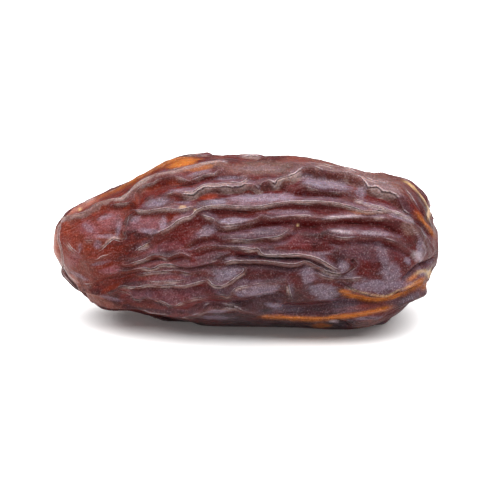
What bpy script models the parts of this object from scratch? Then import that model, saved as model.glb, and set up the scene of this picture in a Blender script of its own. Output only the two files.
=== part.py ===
"""A medjool date: one wrinkled fruit, lying on its side on a small flat spot.

The fruit is drawn as it is seen from the front, with x along it from the blossom tip to the stalk end,
`rise` up the picture and `depth` towards the viewer. It is then rolled back by ROLL, which is how far
above the horizon the viewer looks from, and its underside is pressed flat on the surface.
"""

import math

import bmesh
import bpy
import numpy as np
from mathutils import Vector, noise

MM = 0.001

# Driving dimensions. The outlines are (millimetres from the tip, millimetres from the axis), and the length
# is that of the body without its folds, which add a little at both ends.
LENGTH_MM = 57.4
ROLL = math.radians(20)
TOP_OUTLINE = (
    (0.6, 3.2), (1.2, 3.7), (3.0, 5.0), (6.0, 6.8), (9.0, 8.2), (12.0, 9.6), (15.0, 11.2), (18.0, 12.8),
    (22.0, 13.4), (26.0, 13.4), (30.0, 13.0), (36.0, 13.2), (40.0, 12.7), (43.0, 11.8), (46.0, 10.9),
    (49.0, 10.6), (52.0, 10.0), (54.0, 8.7), (56.0, 5.8), (56.8, 3.6),
)
BOTTOM_OUTLINE = (
    (0.6, 1.6), (1.4, 2.5), (3.0, 4.7), (4.5, 6.0), (7.0, 8.2), (12.0, 8.9), (15.0, 9.8), (18.0, 10.5),
    (24.0, 11.6), (30.0, 11.8), (36.0, 11.9), (42.0, 12.2), (46.0, 12.0), (50.0, 10.6), (52.0, 9.4),
    (54.0, 7.0), (56.0, 4.4), (56.8, 2.9),
)
DEPTH_TO_HEIGHT = 1.02
TIP_BLUNTNESS = 3.0
STALK_BLUNTNESS = 5.0
PRESS_MM = 0.8

RELIEF = 0.95
EDGE_RELIEF = 0.3
EDGE_DEGREES = 14
FAR_EDGE_DEGREES = 8
SCAR_RADIUS_MM = 2.3
SCAR_DEPTH_MM = 0.9
SCAR_RIM_MM = 0.3
SCAR_RIM_WIDTH = 0.35
SCAR_DIMPLE_WIDTH = 0.7
SCAR_STEEPNESS = 4
LAIN_ON_RELIEF = 0.12
LAIN_ON_MM = 0.5
FREE_MM = 1.9
WRINKLE_MM = 0.12
LENGTHWISE_STRETCH = 0.35
WRINKLE_SPACING_MM = 2.2
SEED = 5

# The far side's folds run in lanes between these clock angles, in pieces that overlap. A pair is the least
# and the most that is drawn for one piece.
FAR_FIRST = 80
FAR_LAST = 265
FAR_LANES = 15
FAR_WAVER = 0.09
FAR_WAVE_MM = (23.0, 12.0, 7.0)
FAR_WAVE_SHARE = (0.3, 1.0)
FAR_SLANT = (-0.006, 0.006)
FAR_SHIFT = (-0.04, 0.04)
FAR_PIECE_MM = (14, 34)
FAR_SHORTEST_MM = 8
FAR_OVERLAP_MM = (1.0, 4.0)
FAR_FROM_TIP_MM = (0.3, 3.0)
FAR_FROM_STALK_MM = (0.2, 1.2)
FAR_STEEP_MM = (0.35, 0.5)
FAR_GENTLE_MM = (0.7, 1.1)
FAR_STEEP_ABOVE = 0.4
FAR_HEIGHT_MM = (0.6, 1.05)
FAR_FLATNESS = (1.2, 1.8)

# How finely the skin is laid out before it is thinned to what the solid needs.
AROUND = 256
ALONG = 150
SOLID_TRIANGLES = 9600
CREST_STEP_MM = 0.25
PROBE_MM = 0.01
PROBE_RADIANS = 0.001

# A fold's crest fades out at its ends over this length, or over this share of a short one, and it comes no
# nearer the outline than this share of the body's reach.
FADE_MM = 1.6
FADE_SHARE = 0.3
FADE_HEAD = 0.3
NEAREST_EDGE = 0.985
CREST_LIFT = 1.15
CREASE_LIFT_MM = 0.3
SEEN_FROM_MM = 312.5
VIEW_MIDDLE_MM = np.array([29.5, -0.6])
VIEW_SHIFT_MM = np.array([0.05, -0.26])
VIEW_SCALE = 1.008
PLACING_ROUNDS = 3
LEAST_FACING = 0.42
HEIGHT_STRETCH = 0.4
WIDTHS_REACHED = 3

# Each fold is its height, how far it falls away above and below its crest, how flat its top is (1 is a
# sharp ridge, 2 a roll, 3 and more a shelf), and its crest as (millimetres from the tip, rise), as seen
# from the front. A negative height is a crease.
SEEN_FOLDS = (
    # The shoulder: the long edge of the flat facet along the upper left.
    (0.55, 0.5, 0.8, 1.2, (
        (1.1, 4.1), (2.2, 4.4), (4.0, 4.85), (5.0, 5.3), (6.0, 6.0), (7.2, 6.6), (8.5, 6.85), (10.0, 7.0),
        (10.8, 7.5), (12.4, 8.8), (13.4, 9.6), (14.6, 10.3), (16.0, 10.8), (17.5, 11.0), (18.6, 11.5),
        (20.0, 11.7), (21.5, 12.1), (23.0, 12.5), (26.0, 12.9))),
    (0.45, 0.8, 0.35, 1.2, (
        (8.0, 6.4), (10.3, 6.4), (11.4, 6.6), (12.0, 7.1), (12.2, 7.9), (12.8, 8.6), (14.2, 9.3),
        (15.6, 9.7), (16.4, 10.3), (18.2, 10.3), (19.2, 10.0), (20.5, 9.8), (21.3, 10.3), (22.6, 10.8),
        (24.2, 10.7), (25.0, 11.1))),
    (-0.6, 0.35, 0.8, 1.4, (
        (2.0, 3.4), (4.0, 4.3), (6.0, 5.3), (7.5, 5.9), (9.0, 5.9), (11.0, 6.0), (12.3, 6.4), (12.7, 7.5),
        (13.3, 8.5), (15.0, 9.0), (16.5, 9.4), (18.0, 9.7), (20.5, 9.3), (22.0, 10.2), (24.0, 10.3),
        (26.0, 10.6), (28.0, 10.3), (28.8, 9.9))),
    # The brow: the upper band, from the left pocket right round to the stalk end.
    (0.7, 0.9, 0.4, 1.3, (
        (17.5, 8.1), (19.0, 7.95), (20.6, 7.95), (21.4, 8.4), (22.4, 8.95), (23.5, 9.0), (25.0, 9.1),
        (27.0, 9.3), (28.6, 9.4), (30.4, 9.3), (32.0, 9.8), (34.0, 10.0), (35.5, 10.5), (36.6, 11.2),
        (38.0, 11.75), (40.0, 11.7), (42.0, 11.3), (44.0, 11.1), (45.6, 10.5), (47.0, 9.6), (48.6, 9.1),
        (50.2, 8.5), (51.4, 8.1), (52.6, 7.2), (53.4, 6.4))),
    (-0.7, 0.4, 0.8, 1.4, (
        (18.0, 7.4), (20.8, 7.4), (22.0, 8.0), (23.5, 8.4), (26.0, 8.3), (28.5, 8.5), (30.3, 8.3),
        (31.7, 8.8), (33.3, 9.0), (34.5, 8.9), (36.0, 8.3), (38.0, 7.9), (41.0, 7.8), (43.6, 7.6))),
    (-0.8, 0.4, 0.7, 1.4, (
        (34.8, 9.2), (36.0, 10.1), (37.3, 10.9), (39.0, 10.9), (41.0, 10.6), (43.0, 10.3), (45.0, 9.9),
        (46.3, 9.2), (47.3, 8.4), (49.0, 7.9), (50.5, 7.3), (52.0, 6.4), (53.3, 5.4), (54.5, 4.3),
        (55.8, 3.0), (57.0, 1.8))),
    (0.6, 0.75, 0.75, 3.0, (
        (36.3, 9.0), (38.0, 9.4), (40.0, 9.2), (42.0, 9.0), (44.0, 8.7), (45.5, 8.4), (46.5, 7.8))),
    # The long band that runs nearly straight through the upper middle, and its crease.
    (0.75, 1.1, 0.4, 1.5, (
        (15.0, 1.8), (16.8, 2.4), (17.5, 2.9), (18.4, 3.7), (19.3, 4.1), (20.3, 4.3), (21.0, 4.7),
        (21.6, 5.3), (22.3, 5.9), (24.0, 6.0), (25.5, 6.25), (27.0, 6.2), (28.5, 6.0), (30.0, 6.05),
        (31.5, 6.1), (33.0, 6.35), (34.5, 6.6), (36.0, 6.7), (38.0, 6.7), (40.0, 6.7), (41.5, 6.55),
        (43.0, 6.3), (44.5, 6.0), (45.5, 5.7), (46.5, 5.35), (47.5, 5.2), (49.0, 5.2))),
    (-0.5, 0.3, 0.9, 1.4, (
        (22.5, 5.0), (25.0, 5.1), (28.0, 5.2), (31.0, 5.3), (33.0, 5.8), (35.0, 6.1), (38.0, 6.1),
        (41.0, 5.95), (43.5, 5.7))),
    (0.55, 0.35, 0.7, 1.3, (
        (45.3, 7.2), (46.0, 6.6), (47.5, 6.3), (49.0, 5.9), (50.3, 5.4), (51.6, 5.0), (52.8, 4.4),
        (53.8, 3.9), (54.4, 3.4))),
    # The second band, just under it.
    (0.7, 0.7, 0.5, 1.5, (
        (21.5, 4.6), (22.6, 4.5), (23.4, 4.2), (24.2, 3.8), (25.0, 3.4), (26.0, 3.35), (27.5, 3.5),
        (29.0, 3.8), (30.3, 4.1), (31.1, 4.5), (32.3, 4.2), (33.5, 4.3), (35.0, 4.6), (37.0, 4.5),
        (39.0, 4.4), (41.0, 4.3), (43.0, 4.3), (45.0, 4.4), (47.0, 4.2), (49.0, 4.1), (51.0, 3.9),
        (52.5, 3.5), (53.8, 2.7), (54.8, 1.6), (55.2, 0.4))),
    (-0.6, 0.35, 0.6, 1.4, (
        (22.5, 3.6), (24.0, 2.9), (25.5, 2.2), (27.5, 2.4), (29.5, 2.8), (31.5, 3.2), (33.5, 3.4),
        (36.0, 3.5), (38.0, 3.3), (40.0, 3.3), (42.0, 3.6), (45.0, 3.6), (48.0, 3.4), (49.8, 3.1),
        (51.2, 2.3), (52.6, 1.5))),
    (-0.5, 0.7, 0.7, 2.0, (
        (36.5, 3.0), (38.5, 2.9), (40.3, 2.6))),
    # The cheek and the two spindles of the middle.
    (0.5, 0.9, 0.35, 1.3, (
        (19.6, -0.2), (20.3, 0.4), (21.1, 1.0), (22.0, 1.4), (23.4, 1.45), (24.3, 1.8))),
    (-0.6, 0.4, 0.4, 1.4, (
        (20.2, -0.6), (20.9, 0.2), (21.8, 0.7), (23.0, 1.0), (24.3, 0.9), (25.2, 0.3), (27.0, 0.3),
        (29.0, 0.5), (31.5, 0.6), (33.3, 0.7), (34.6, 1.0), (35.6, 1.5), (36.5, 2.3), (37.3, 3.0))),
    (0.55, 0.8, 0.65, 2.5, (
        (24.8, 1.3), (26.5, 1.5), (28.5, 1.7), (31.0, 1.9), (33.0, 2.0), (34.7, 2.2), (35.9, 2.6))),
    (0.65, 0.7, 0.7, 2.5, (
        (40.9, 2.0), (42.5, 2.0), (44.5, 1.9), (46.5, 1.9), (48.5, 1.8), (50.2, 1.5), (51.8, 0.9),
        (53.0, 0.2))),
    (-0.65, 0.35, 0.6, 1.4, (
        (40.3, 1.2), (41.3, 0.7), (43.0, 0.4), (45.0, 0.5), (47.0, 0.6), (49.0, 0.5), (50.5, 0.1),
        (52.0, -0.6), (53.2, -1.2), (54.2, -2.2))),
    (-0.3, 0.3, 0.4, 1.4, (
        (34.5, -0.7), (36.5, -0.8), (38.5, -0.8), (40.5, -0.7), (42.0, -0.4), (43.0, 0.0))),
    (0.25, 0.3, 0.3, 1.3, (
        (19.0, -0.5), (20.8, -0.7), (21.7, -0.3), (23.0, 0.0), (24.5, 0.05), (26.0, -0.1), (28.5, -0.25),
        (31.0, -0.3), (33.0, -0.5))),
    (-0.45, 0.4, 0.4, 1.4, (
        (21.3, -1.4), (22.4, -1.3), (23.5, -0.8), (25.0, -0.7), (26.5, -0.7), (27.4, -1.1))),
    # The step that runs into the curl on the right, with the grey ridge under it.
    (0.55, 0.8, 0.3, 1.3, (
        (27.6, -0.7), (29.2, -0.55), (30.6, -0.5), (31.1, -1.0), (32.0, -1.35), (34.0, -1.4),
        (36.0, -1.45), (37.6, -1.5), (38.8, -1.8), (40.0, -2.3), (41.2, -2.9), (42.2, -3.4), (43.2, -3.6),
        (44.0, -3.2), (44.3, -2.5), (44.0, -1.9))),
    (-1.0, 0.3, 0.3, 1.3, (
        (26.5, -1.65), (29.0, -1.65), (31.0, -1.75), (33.0, -1.9), (35.0, -1.95), (37.0, -2.0),
        (38.4, -2.2), (39.6, -2.75), (40.8, -3.25), (42.0, -3.7), (43.0, -3.85))),
    (0.7, 0.35, 0.35, 1.5, (
        (25.4, -2.4), (26.5, -2.3), (28.0, -2.15), (30.0, -2.2), (32.0, -2.35), (34.0, -2.6),
        (35.8, -2.75), (37.0, -2.6), (38.1, -2.45), (39.0, -2.95), (40.2, -3.4), (41.4, -3.8),
        (42.6, -4.05), (43.7, -4.0), (44.6, -3.5))),
    (-0.7, 0.3, 0.5, 1.4, (
        (25.1, -2.9), (26.4, -3.0), (27.6, -2.7), (29.0, -2.8), (31.5, -2.85), (33.5, -3.1), (35.0, -3.4),
        (36.3, -3.3), (37.4, -2.9), (38.3, -2.9), (39.3, -3.4), (40.5, -3.9), (41.8, -4.3), (43.0, -4.45),
        (44.1, -4.2), (44.9, -3.5), (45.4, -2.8), (44.9, -2.2), (44.0, -1.9))),
    (0.3, 0.3, 0.4, 1.3, (
        (38.5, -3.4), (39.4, -4.1), (40.6, -4.6), (42.0, -4.9), (43.5, -4.85), (45.2, -4.95),
        (47.0, -4.75))),
    (0.35, 0.9, 0.9, 2.0, (
        (49.3, -0.6), (49.8, -2.2), (49.4, -4.0), (48.6, -5.0))),
    (-0.45, 0.6, 0.6, 2.0, (
        (44.6, -2.3), (45.2, -2.6))),
    # The two folds with the bared orange crests, low on the right.
    (-0.4, 0.5, 0.25, 1.4, (
        (43.0, -5.1), (43.8, -6.0), (44.8, -6.5), (46.0, -6.85), (47.5, -7.05), (49.3, -7.1),
        (51.0, -6.8), (52.2, -6.1), (53.3, -5.3), (54.2, -4.6))),
    (1.0, 0.5, 0.6, 1.6, (
        (43.2, -6.9), (44.5, -7.0), (46.0, -7.4), (47.5, -7.65), (49.0, -7.7), (50.5, -7.5), (52.0, -6.8),
        (53.3, -6.0), (54.5, -5.2), (55.6, -4.6))),
    (-0.7, 0.35, 0.5, 1.4, (
        (43.0, -8.4), (45.0, -8.1), (46.3, -8.1), (47.6, -8.35), (49.2, -8.5), (51.0, -8.2), (52.5, -7.5),
        (54.0, -6.7), (55.2, -6.0))),
    (-0.7, 0.6, 0.5, 1.5, (
        (33.5, -9.3), (35.5, -9.5), (37.5, -9.5), (39.5, -9.4), (41.5, -9.2), (43.0, -8.8), (44.5, -8.4))),
    (0.9, 0.5, 0.5, 1.5, (
        (32.0, -10.4), (34.0, -10.7), (36.0, -10.85), (38.5, -10.9), (41.0, -10.8), (43.0, -10.4),
        (45.0, -10.0), (47.0, -9.8), (49.0, -9.6), (50.8, -9.2), (52.4, -8.7), (53.8, -8.1), (55.0, -7.2),
        (55.7, -6.4))),
    (0.25, 0.3, 0.3, 1.3, (
        (43.5, -9.3), (45.5, -9.1), (47.5, -9.1), (49.5, -8.95), (51.2, -8.6), (52.8, -7.9), (54.2, -7.1),
        (55.4, -6.2))),
    (-0.8, 0.3, 0.5, 1.4, (
        (31.0, -10.6), (33.0, -11.2), (35.0, -11.4), (38.0, -11.45), (41.0, -11.4), (42.5, -11.6),
        (43.6, -12.0), (44.6, -12.3))),
    (0.45, 0.9, 0.9, 2.0, (
        (44.2, -11.4), (46.0, -11.6), (48.0, -11.4), (50.0, -10.6))),
    # The smooth shelves of the lower middle.
    (0.8, 0.85, 0.9, 3.5, (
        (27.2, -7.2), (29.0, -7.0), (31.0, -6.6), (33.0, -6.3), (34.6, -6.2), (35.3, -7.0))),
    (-0.6, 0.3, 0.6, 1.4, (
        (26.5, -8.6), (28.0, -8.9), (29.5, -8.5), (30.7, -8.0), (32.0, -7.6), (33.2, -7.2), (34.3, -7.2),
        (35.0, -7.9))),
    (0.4, 0.2, 0.4, 1.3, (
        (23.8, -7.3), (25.0, -7.35), (26.0, -7.45), (26.7, -7.1))),
    (0.45, 0.3, 0.4, 1.5, (
        (32.5, -8.7), (33.4, -8.8), (34.5, -9.2))),
    (0.8, 0.7, 0.85, 3.0, (
        (21.8, -4.2), (23.3, -4.5), (25.0, -4.9), (26.3, -4.6), (27.4, -4.0), (28.2, -3.6))),
    (-0.45, 0.25, 0.5, 1.4, (
        (22.5, -5.6), (23.6, -6.2), (24.9, -6.4), (26.2, -6.1), (27.4, -5.3), (28.6, -4.5), (29.3, -3.5))),
    # The fine long lines of the lower left.
    (0.6, 0.6, 0.3, 1.3, (
        (10.3, -6.1), (11.6, -6.25), (13.0, -6.0), (14.3, -5.8), (16.0, -5.9), (18.0, -5.9),
        (19.6, -6.05), (20.8, -5.75), (21.8, -5.3), (22.6, -5.0))),
    (0.25, 0.25, 0.2, 1.3, (
        (13.6, -5.2), (15.0, -5.4), (17.0, -5.35), (18.6, -5.15), (20.0, -5.0))),
    (-0.6, 0.25, 0.6, 1.4, (
        (10.5, -6.6), (12.0, -6.5), (14.0, -6.35), (16.5, -6.35), (19.5, -6.5), (21.5, -6.3),
        (23.0, -6.2))),
    (0.55, 0.5, 0.3, 1.3, (
        (9.6, -2.8), (11.0, -2.75), (12.4, -2.45), (13.6, -2.0), (14.8, -1.6), (16.2, -1.5),
        (17.2, -1.75), (18.3, -1.4), (19.4, -1.25), (20.3, -1.6), (21.0, -2.1))),
    (-0.55, 0.25, 0.4, 1.4, (
        (9.8, -3.2), (11.5, -3.2), (13.0, -2.7), (14.5, -2.2), (16.0, -2.0), (17.5, -2.15), (18.8, -1.8),
        (19.8, -1.9), (20.4, -2.3))),
    (0.6, 0.5, 0.3, 1.3, (
        (8.4, -4.3), (9.6, -4.0), (11.2, -3.85), (12.4, -3.5), (14.2, -3.3), (15.6, -2.85), (16.6, -2.55),
        (18.0, -2.75), (19.4, -3.0), (20.6, -3.05), (22.0, -2.8), (23.2, -2.55), (24.2, -2.3),
        (25.0, -1.7), (25.8, -1.3))),
    (-0.55, 0.25, 0.35, 1.4, (
        (14.0, -3.6), (15.5, -3.2), (17.0, -3.0), (18.4, -3.2), (20.0, -3.4), (21.5, -3.25),
        (23.2, -2.95), (24.6, -2.8), (25.2, -2.9))),
    (0.35, 0.3, 0.25, 1.3, (
        (17.5, -3.4), (18.8, -3.6), (20.2, -3.9), (21.4, -3.7), (22.8, -3.55), (24.3, -3.6))),
    (-0.4, 0.3, 0.3, 1.4, (
        (15.0, -3.9), (17.0, -4.1), (18.8, -4.2), (20.6, -4.3), (21.8, -4.1))),
    (-0.55, 0.3, 0.3, 1.4, (
        (6.0, -6.7), (6.8, -5.8), (7.8, -5.2), (9.0, -4.75), (10.2, -4.25), (11.4, -4.1), (12.6, -3.9),
        (14.0, -3.7))),
    (-0.75, 0.5, 0.5, 1.8, (
        (6.8, -7.0), (8.0, -6.4), (9.2, -5.8), (10.4, -5.4), (11.6, -5.1), (13.0, -4.8))),
    # The rope of skin along the bottom left, and the rim under it.
    (0.75, 0.7, 0.35, 1.4, (
        (3.6, -6.3), (5.0, -6.9), (6.4, -7.4), (7.5, -7.6), (8.6, -7.2), (9.5, -6.75), (10.6, -6.5),
        (11.5, -6.9), (12.0, -7.6), (13.0, -7.95), (14.6, -7.9), (16.0, -8.2), (17.2, -8.7),
        (18.2, -8.85), (19.2, -8.4), (20.4, -8.0), (21.6, -7.85), (22.8, -7.7))),
    (-0.8, 0.4, 0.5, 1.4, (
        (10.4, -7.4), (11.2, -8.2), (12.4, -8.7), (14.2, -8.7), (15.8, -9.1), (17.2, -9.6), (18.4, -10.0),
        (19.6, -10.2), (20.4, -9.9), (21.6, -9.3), (22.8, -8.9), (24.5, -8.95), (26.5, -9.1),
        (28.3, -8.9), (29.4, -8.6))),
    (0.45, 0.6, 0.6, 2.0, (
        (18.8, -9.2), (20.2, -8.8), (21.6, -8.4), (22.8, -8.3))),
    (0.6, 0.5, 0.4, 1.4, (
        (5.0, -8.0), (7.0, -8.8), (9.5, -9.3), (12.0, -9.5), (14.5, -9.9), (16.5, -10.3), (18.2, -10.7),
        (19.5, -10.9), (20.8, -10.6), (22.0, -10.1), (23.4, -9.7), (25.5, -9.75), (28.0, -9.75),
        (29.8, -9.95), (31.2, -10.4), (32.6, -11.0))),
    # The left pocket and the lines round it.
    (0.45, 0.5, 0.3, 1.3, (
        (11.2, 4.9), (12.0, 5.25), (13.5, 5.3), (15.5, 5.55), (17.3, 5.7), (19.0, 5.55), (20.2, 5.7),
        (21.2, 6.0), (22.2, 6.2))),
    (-0.4, 0.25, 0.5, 1.4, (
        (11.8, 4.8), (13.5, 4.85), (15.2, 4.9), (16.4, 4.7), (17.2, 4.2), (18.2, 4.5), (19.5, 4.9),
        (20.6, 5.0))),
    (0.35, 0.35, 0.35, 1.3, (
        (11.2, 4.9), (11.0, 4.1), (10.6, 3.0), (10.4, 2.0), (10.6, 1.2), (10.0, 0.9), (9.0, 1.05),
        (8.2, 0.7), (7.5, 0.1), (6.6, -0.6))),
    (-0.45, 0.4, 0.4, 1.4, (
        (12.4, 6.4), (11.3, 5.6), (10.5, 4.9), (10.1, 4.0))),
    (0.35, 0.4, 0.5, 1.3, (
        (13.8, 5.9), (14.4, 6.6), (15.3, 7.0), (16.4, 7.2), (17.2, 7.8), (17.9, 8.3), (19.0, 8.6),
        (20.0, 8.5))),
    (0.2, 0.3, 0.2, 1.3, (
        (4.0, 1.0), (5.2, 1.1), (6.5, 1.0), (7.6, 0.8))),
    (0.25, 0.3, 0.3, 1.3, (
        (1.8, 0.7), (2.5, -0.2), (3.1, -0.8), (3.6, -1.1), (3.85, -0.4), (4.0, 0.6))),
    (0.35, 0.25, 0.3, 1.3, (
        (4.0, -2.8), (5.0, -2.3), (6.3, -2.1), (7.3, -1.7), (8.6, -1.3), (9.6, -1.2))),
    (0.35, 0.4, 0.3, 1.3, (
        (12.1, -0.9), (13.1, -0.2), (14.0, 0.4), (15.0, 1.1), (16.0, 1.8), (16.9, 2.3))),
    (-0.35, 0.3, 0.4, 1.4, (
        (11.0, -1.9), (12.4, -1.5), (13.6, -0.9), (14.8, -0.4), (15.5, 0.4), (16.4, 1.1), (17.4, 1.5))),
    # The lines that follow the top edge.
    (0.3, 0.35, 0.3, 1.3, (
        (27.3, 11.5), (28.5, 11.4), (30.0, 11.5), (32.0, 11.5), (33.5, 11.4), (35.0, 11.6))),
    (-0.35, 0.3, 0.3, 1.4, (
        (27.8, 12.0), (29.5, 12.2), (31.5, 12.1), (33.2, 11.8), (34.5, 11.9))),
    (0.35, 0.4, 0.35, 1.3, (
        (33.8, 12.3), (36.0, 12.35), (38.5, 12.2), (41.0, 11.9), (43.0, 11.6), (45.0, 11.2), (47.0, 10.6),
        (49.0, 10.0), (50.8, 9.3), (52.0, 8.7), (53.0, 7.8))),
    # The stalk end: the notch and the facets round it.
    (-1.1, 0.3, 0.35, 1.3, (
        (52.2, -5.0), (53.1, -4.7), (54.0, -3.9), (54.7, -3.2), (55.5, -2.9), (56.4, -2.5), (57.2, -2.0))),
    (0.35, 0.3, 0.5, 1.4, (
        (53.2, -1.3), (53.9, -1.1), (54.6, -0.6), (55.1, 0.2), (55.4, 1.2), (55.2, 2.3), (54.6, 3.1))),
    (0.3, 0.3, 0.3, 1.4, (
        (55.4, 2.3), (56.0, 1.2), (56.6, 0.2), (57.0, -0.6), (57.0, -1.3))),
)


def envelope(share):
    """How far out a blunt-ended body reaches, from 0 at its ends to 1, at each share of its length."""
    centred = 2 * share - 1
    tip = 1 - np.clip(-centred, 0, 1) ** TIP_BLUNTNESS
    stalk = 1 - np.clip(centred, 0, 1) ** STALK_BLUNTNESS
    return np.sqrt(np.clip(tip * stalk, 0, 1))


def smooth_through(x, xs, ys):
    """A smooth curve through the points (xs, ys), read at x."""
    slopes = np.gradient(ys, xs)
    i = np.clip(np.searchsorted(xs, x) - 1, 0, len(xs) - 2)
    step = xs[i + 1] - xs[i]
    t = np.clip((x - xs[i]) / step, 0, 1)
    return (
        (1 + 2 * t) * (1 - t) ** 2 * ys[i]
        + t * (1 - t) ** 2 * step * slopes[i]
        + t * t * (3 - 2 * t) * ys[i + 1]
        + t * t * (t - 1) * step * slopes[i + 1]
    )


def smoothstep(low, high, value):
    t = np.clip((value - low) / (high - low), 0, 1)
    return t * t * (3 - 2 * t)


def reach(along, outline):
    """How far the body reaches from its axis, in mm, at each distance along it, for one outline."""
    xs, ys = (np.array(column, float) for column in zip(*outline))
    fullness = ys / envelope(xs / LENGTH_MM)
    return smooth_through(np.clip(along, xs[0], xs[-1]), xs, fullness) * envelope(along / LENGTH_MM)


def bare_skin(along, clock):
    """Points of the unwrinkled skin in mm. Clock 0 faces the viewer and a quarter turn is up."""
    top, bottom = reach(along, TOP_OUTLINE), reach(along, BOTTOM_OUTLINE)
    side = DEPTH_TO_HEIGHT * (top + bottom) / 2
    rise = np.where(np.sin(clock) > 0, top, bottom) * np.sin(clock)
    return np.stack([along, rise, side * np.cos(clock)], axis=-1)


def outward(along, clock):
    """Unit vectors straight out of the unwrinkled skin."""
    along = np.clip(along, PROBE_MM, LENGTH_MM - PROBE_MM)
    lengthwise = bare_skin(along + PROBE_MM, clock) - bare_skin(along - PROBE_MM, clock)
    around = bare_skin(along, clock + PROBE_RADIANS) - bare_skin(along, clock - PROBE_RADIANS)
    normal = np.cross(lengthwise, around)
    return normal / np.maximum(np.linalg.norm(normal, axis=-1, keepdims=True), 1e-12)


def drawn_crest(height, path):
    """A crest drawn as (along, rise) from the front, as evenly spaced (along, clock, stretch) on the skin.

    Stretch is how much wider the fold really is than it looks there, where the skin turns away.
    """
    knots = np.array(path, float)
    run = np.concatenate([[0], np.cumsum(np.linalg.norm(np.diff(knots, axis=0), axis=1))])
    at = np.linspace(0, run[-1], max(4, int(run[-1] / CREST_STEP_MM)))
    drawn = np.stack([smooth_through(at, run, column) for column in knots.T], axis=1)
    place = drawn
    # What lies nearer the viewer looks larger, and a fold lifts its crest outward.
    lift = max(CREASE_LIFT_MM, CREST_LIFT * height)
    from_middle = (drawn - VIEW_MIDDLE_MM - VIEW_SHIFT_MM) / VIEW_SCALE
    for _ in range(PLACING_ROUNDS):
        along, rise = place.T
        top, bottom = reach(along, TOP_OUTLINE), reach(along, BOTTOM_OUTLINE)
        limit = np.where(rise > 0, top, bottom) + lift
        clock = np.arcsin(np.clip(rise / limit, -NEAREST_EDGE, NEAREST_EDGE))
        depth = DEPTH_TO_HEIGHT * (top + bottom) / 2 * np.cos(clock)
        place = VIEW_MIDDLE_MM + from_middle * (1 - depth / SEEN_FROM_MM)[:, None]
    along = np.clip(along, 0, LENGTH_MM)
    return along, clock, 1 / np.maximum(np.cos(clock), LEAST_FACING)


def far_crests():
    """The far side's folds, as (height, left, right, flatness, along, clock, stretch): long wavering ones."""
    draw = np.random.default_rng(SEED)
    crests = []
    for lane in range(FAR_LANES):
        home = math.radians(FAR_FIRST + (FAR_LAST - FAR_FIRST) * (lane + 0.5) / FAR_LANES)
        start = draw.uniform(*FAR_FROM_TIP_MM)
        while start < LENGTH_MM - FAR_SHORTEST_MM:
            end = min(start + draw.uniform(*FAR_PIECE_MM), LENGTH_MM - draw.uniform(*FAR_FROM_STALK_MM))
            along = np.linspace(start, end, int((end - start) / CREST_STEP_MM))
            waves = np.zeros(len(along))
            for length in FAR_WAVE_MM:
                size = draw.uniform(*FAR_WAVE_SHARE) * length / FAR_WAVE_MM[0]
                waves += size * np.sin(2 * np.pi * (along / length + draw.random()))
            slant = draw.uniform(*FAR_SLANT) * (along - along.mean())
            clock = home + draw.uniform(*FAR_SHIFT) + slant + FAR_WAVER * waves
            steep, gentle = draw.uniform(*FAR_STEEP_MM), draw.uniform(*FAR_GENTLE_MM)
            left, right = (steep, gentle) if draw.random() < FAR_STEEP_ABOVE else (gentle, steep)
            shape = (draw.uniform(*FAR_HEIGHT_MM), left, right, draw.uniform(*FAR_FLATNESS))
            crests.append((*shape, along, clock, np.ones(len(along))))
            last = end > LENGTH_MM - FAR_SHORTEST_MM
            start = LENGTH_MM if last else end - draw.uniform(*FAR_OVERLAP_MM)
    return crests


def crest_line(along, clock):
    """A crest laid on the skin: its points, the way across the fold at each, and how strong it is there."""
    points = bare_skin(along, clock)
    forward = np.gradient(points, axis=0)
    across = np.cross(outward(along, clock), forward)
    across /= np.maximum(np.linalg.norm(across, axis=1, keepdims=True), 1e-12)
    run = np.concatenate([[0], np.cumsum(np.linalg.norm(np.diff(points, axis=0), axis=1))])
    fade_mm = min(FADE_MM, FADE_SHARE * run[-1])
    strength = smoothstep(-FADE_HEAD * fade_mm, fade_mm, np.minimum(run, run[-1] - run))
    return points, across, strength


def fold_relief(skin):
    """How far the folds lift each point of the bare skin, in mm."""
    crests = [(*shape, *drawn_crest(shape[0], path)) for *shape, path in SEEN_FOLDS] + far_crests()
    lift = np.zeros(len(skin))
    for height, left, right, flatness, along, clock, stretch in crests:
        points, across, strength = crest_line(along, clock)
        span = WIDTHS_REACHED * max(left, right) * stretch.max()
        near = np.all((skin > points.min(0) - span) & (skin < points.max(0) + span), axis=1)
        near = np.flatnonzero(near)
        if not len(near):
            continue
        away = skin[near, None] - points[None]
        distance = np.sqrt((away**2).sum(-1))
        closest = distance.argmin(1)
        rows = np.arange(len(near))
        side = (away[rows, closest] * across[closest]).sum(-1)
        width = np.where(side > 0, left, right) * stretch[closest]
        profile = np.exp(-((distance[rows, closest] / width) ** flatness))
        lift[near] += height * stretch[closest] ** HEIGHT_STRETCH * strength[closest] * profile
    return lift


def wander(skin, scale, seed):
    """Smooth seeded noise in -1 to 1, stretched along the fruit, at each point."""
    stretched = skin * np.array([LENGTHWISE_STRETCH, 1, 1]) / scale
    return np.array([noise.noise(Vector(p) + Vector((seed, seed, seed))) for p in stretched])


def stalk_scar(along, from_axis):
    """The rimmed dimple in the middle of the blunt end, where the stalk came away, in mm."""
    from_rim = (from_axis - SCAR_RADIUS_MM) / (SCAR_RIM_WIDTH * SCAR_RADIUS_MM)
    rim = SCAR_RIM_MM * np.exp(-(from_rim**2))
    from_middle = from_axis / (SCAR_DIMPLE_WIDTH * SCAR_RADIUS_MM)
    dimple = SCAR_DEPTH_MM * np.exp(-(from_middle**SCAR_STEEPNESS))
    return np.where(along > LENGTH_MM / 2, rim - dimple, 0)


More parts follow.
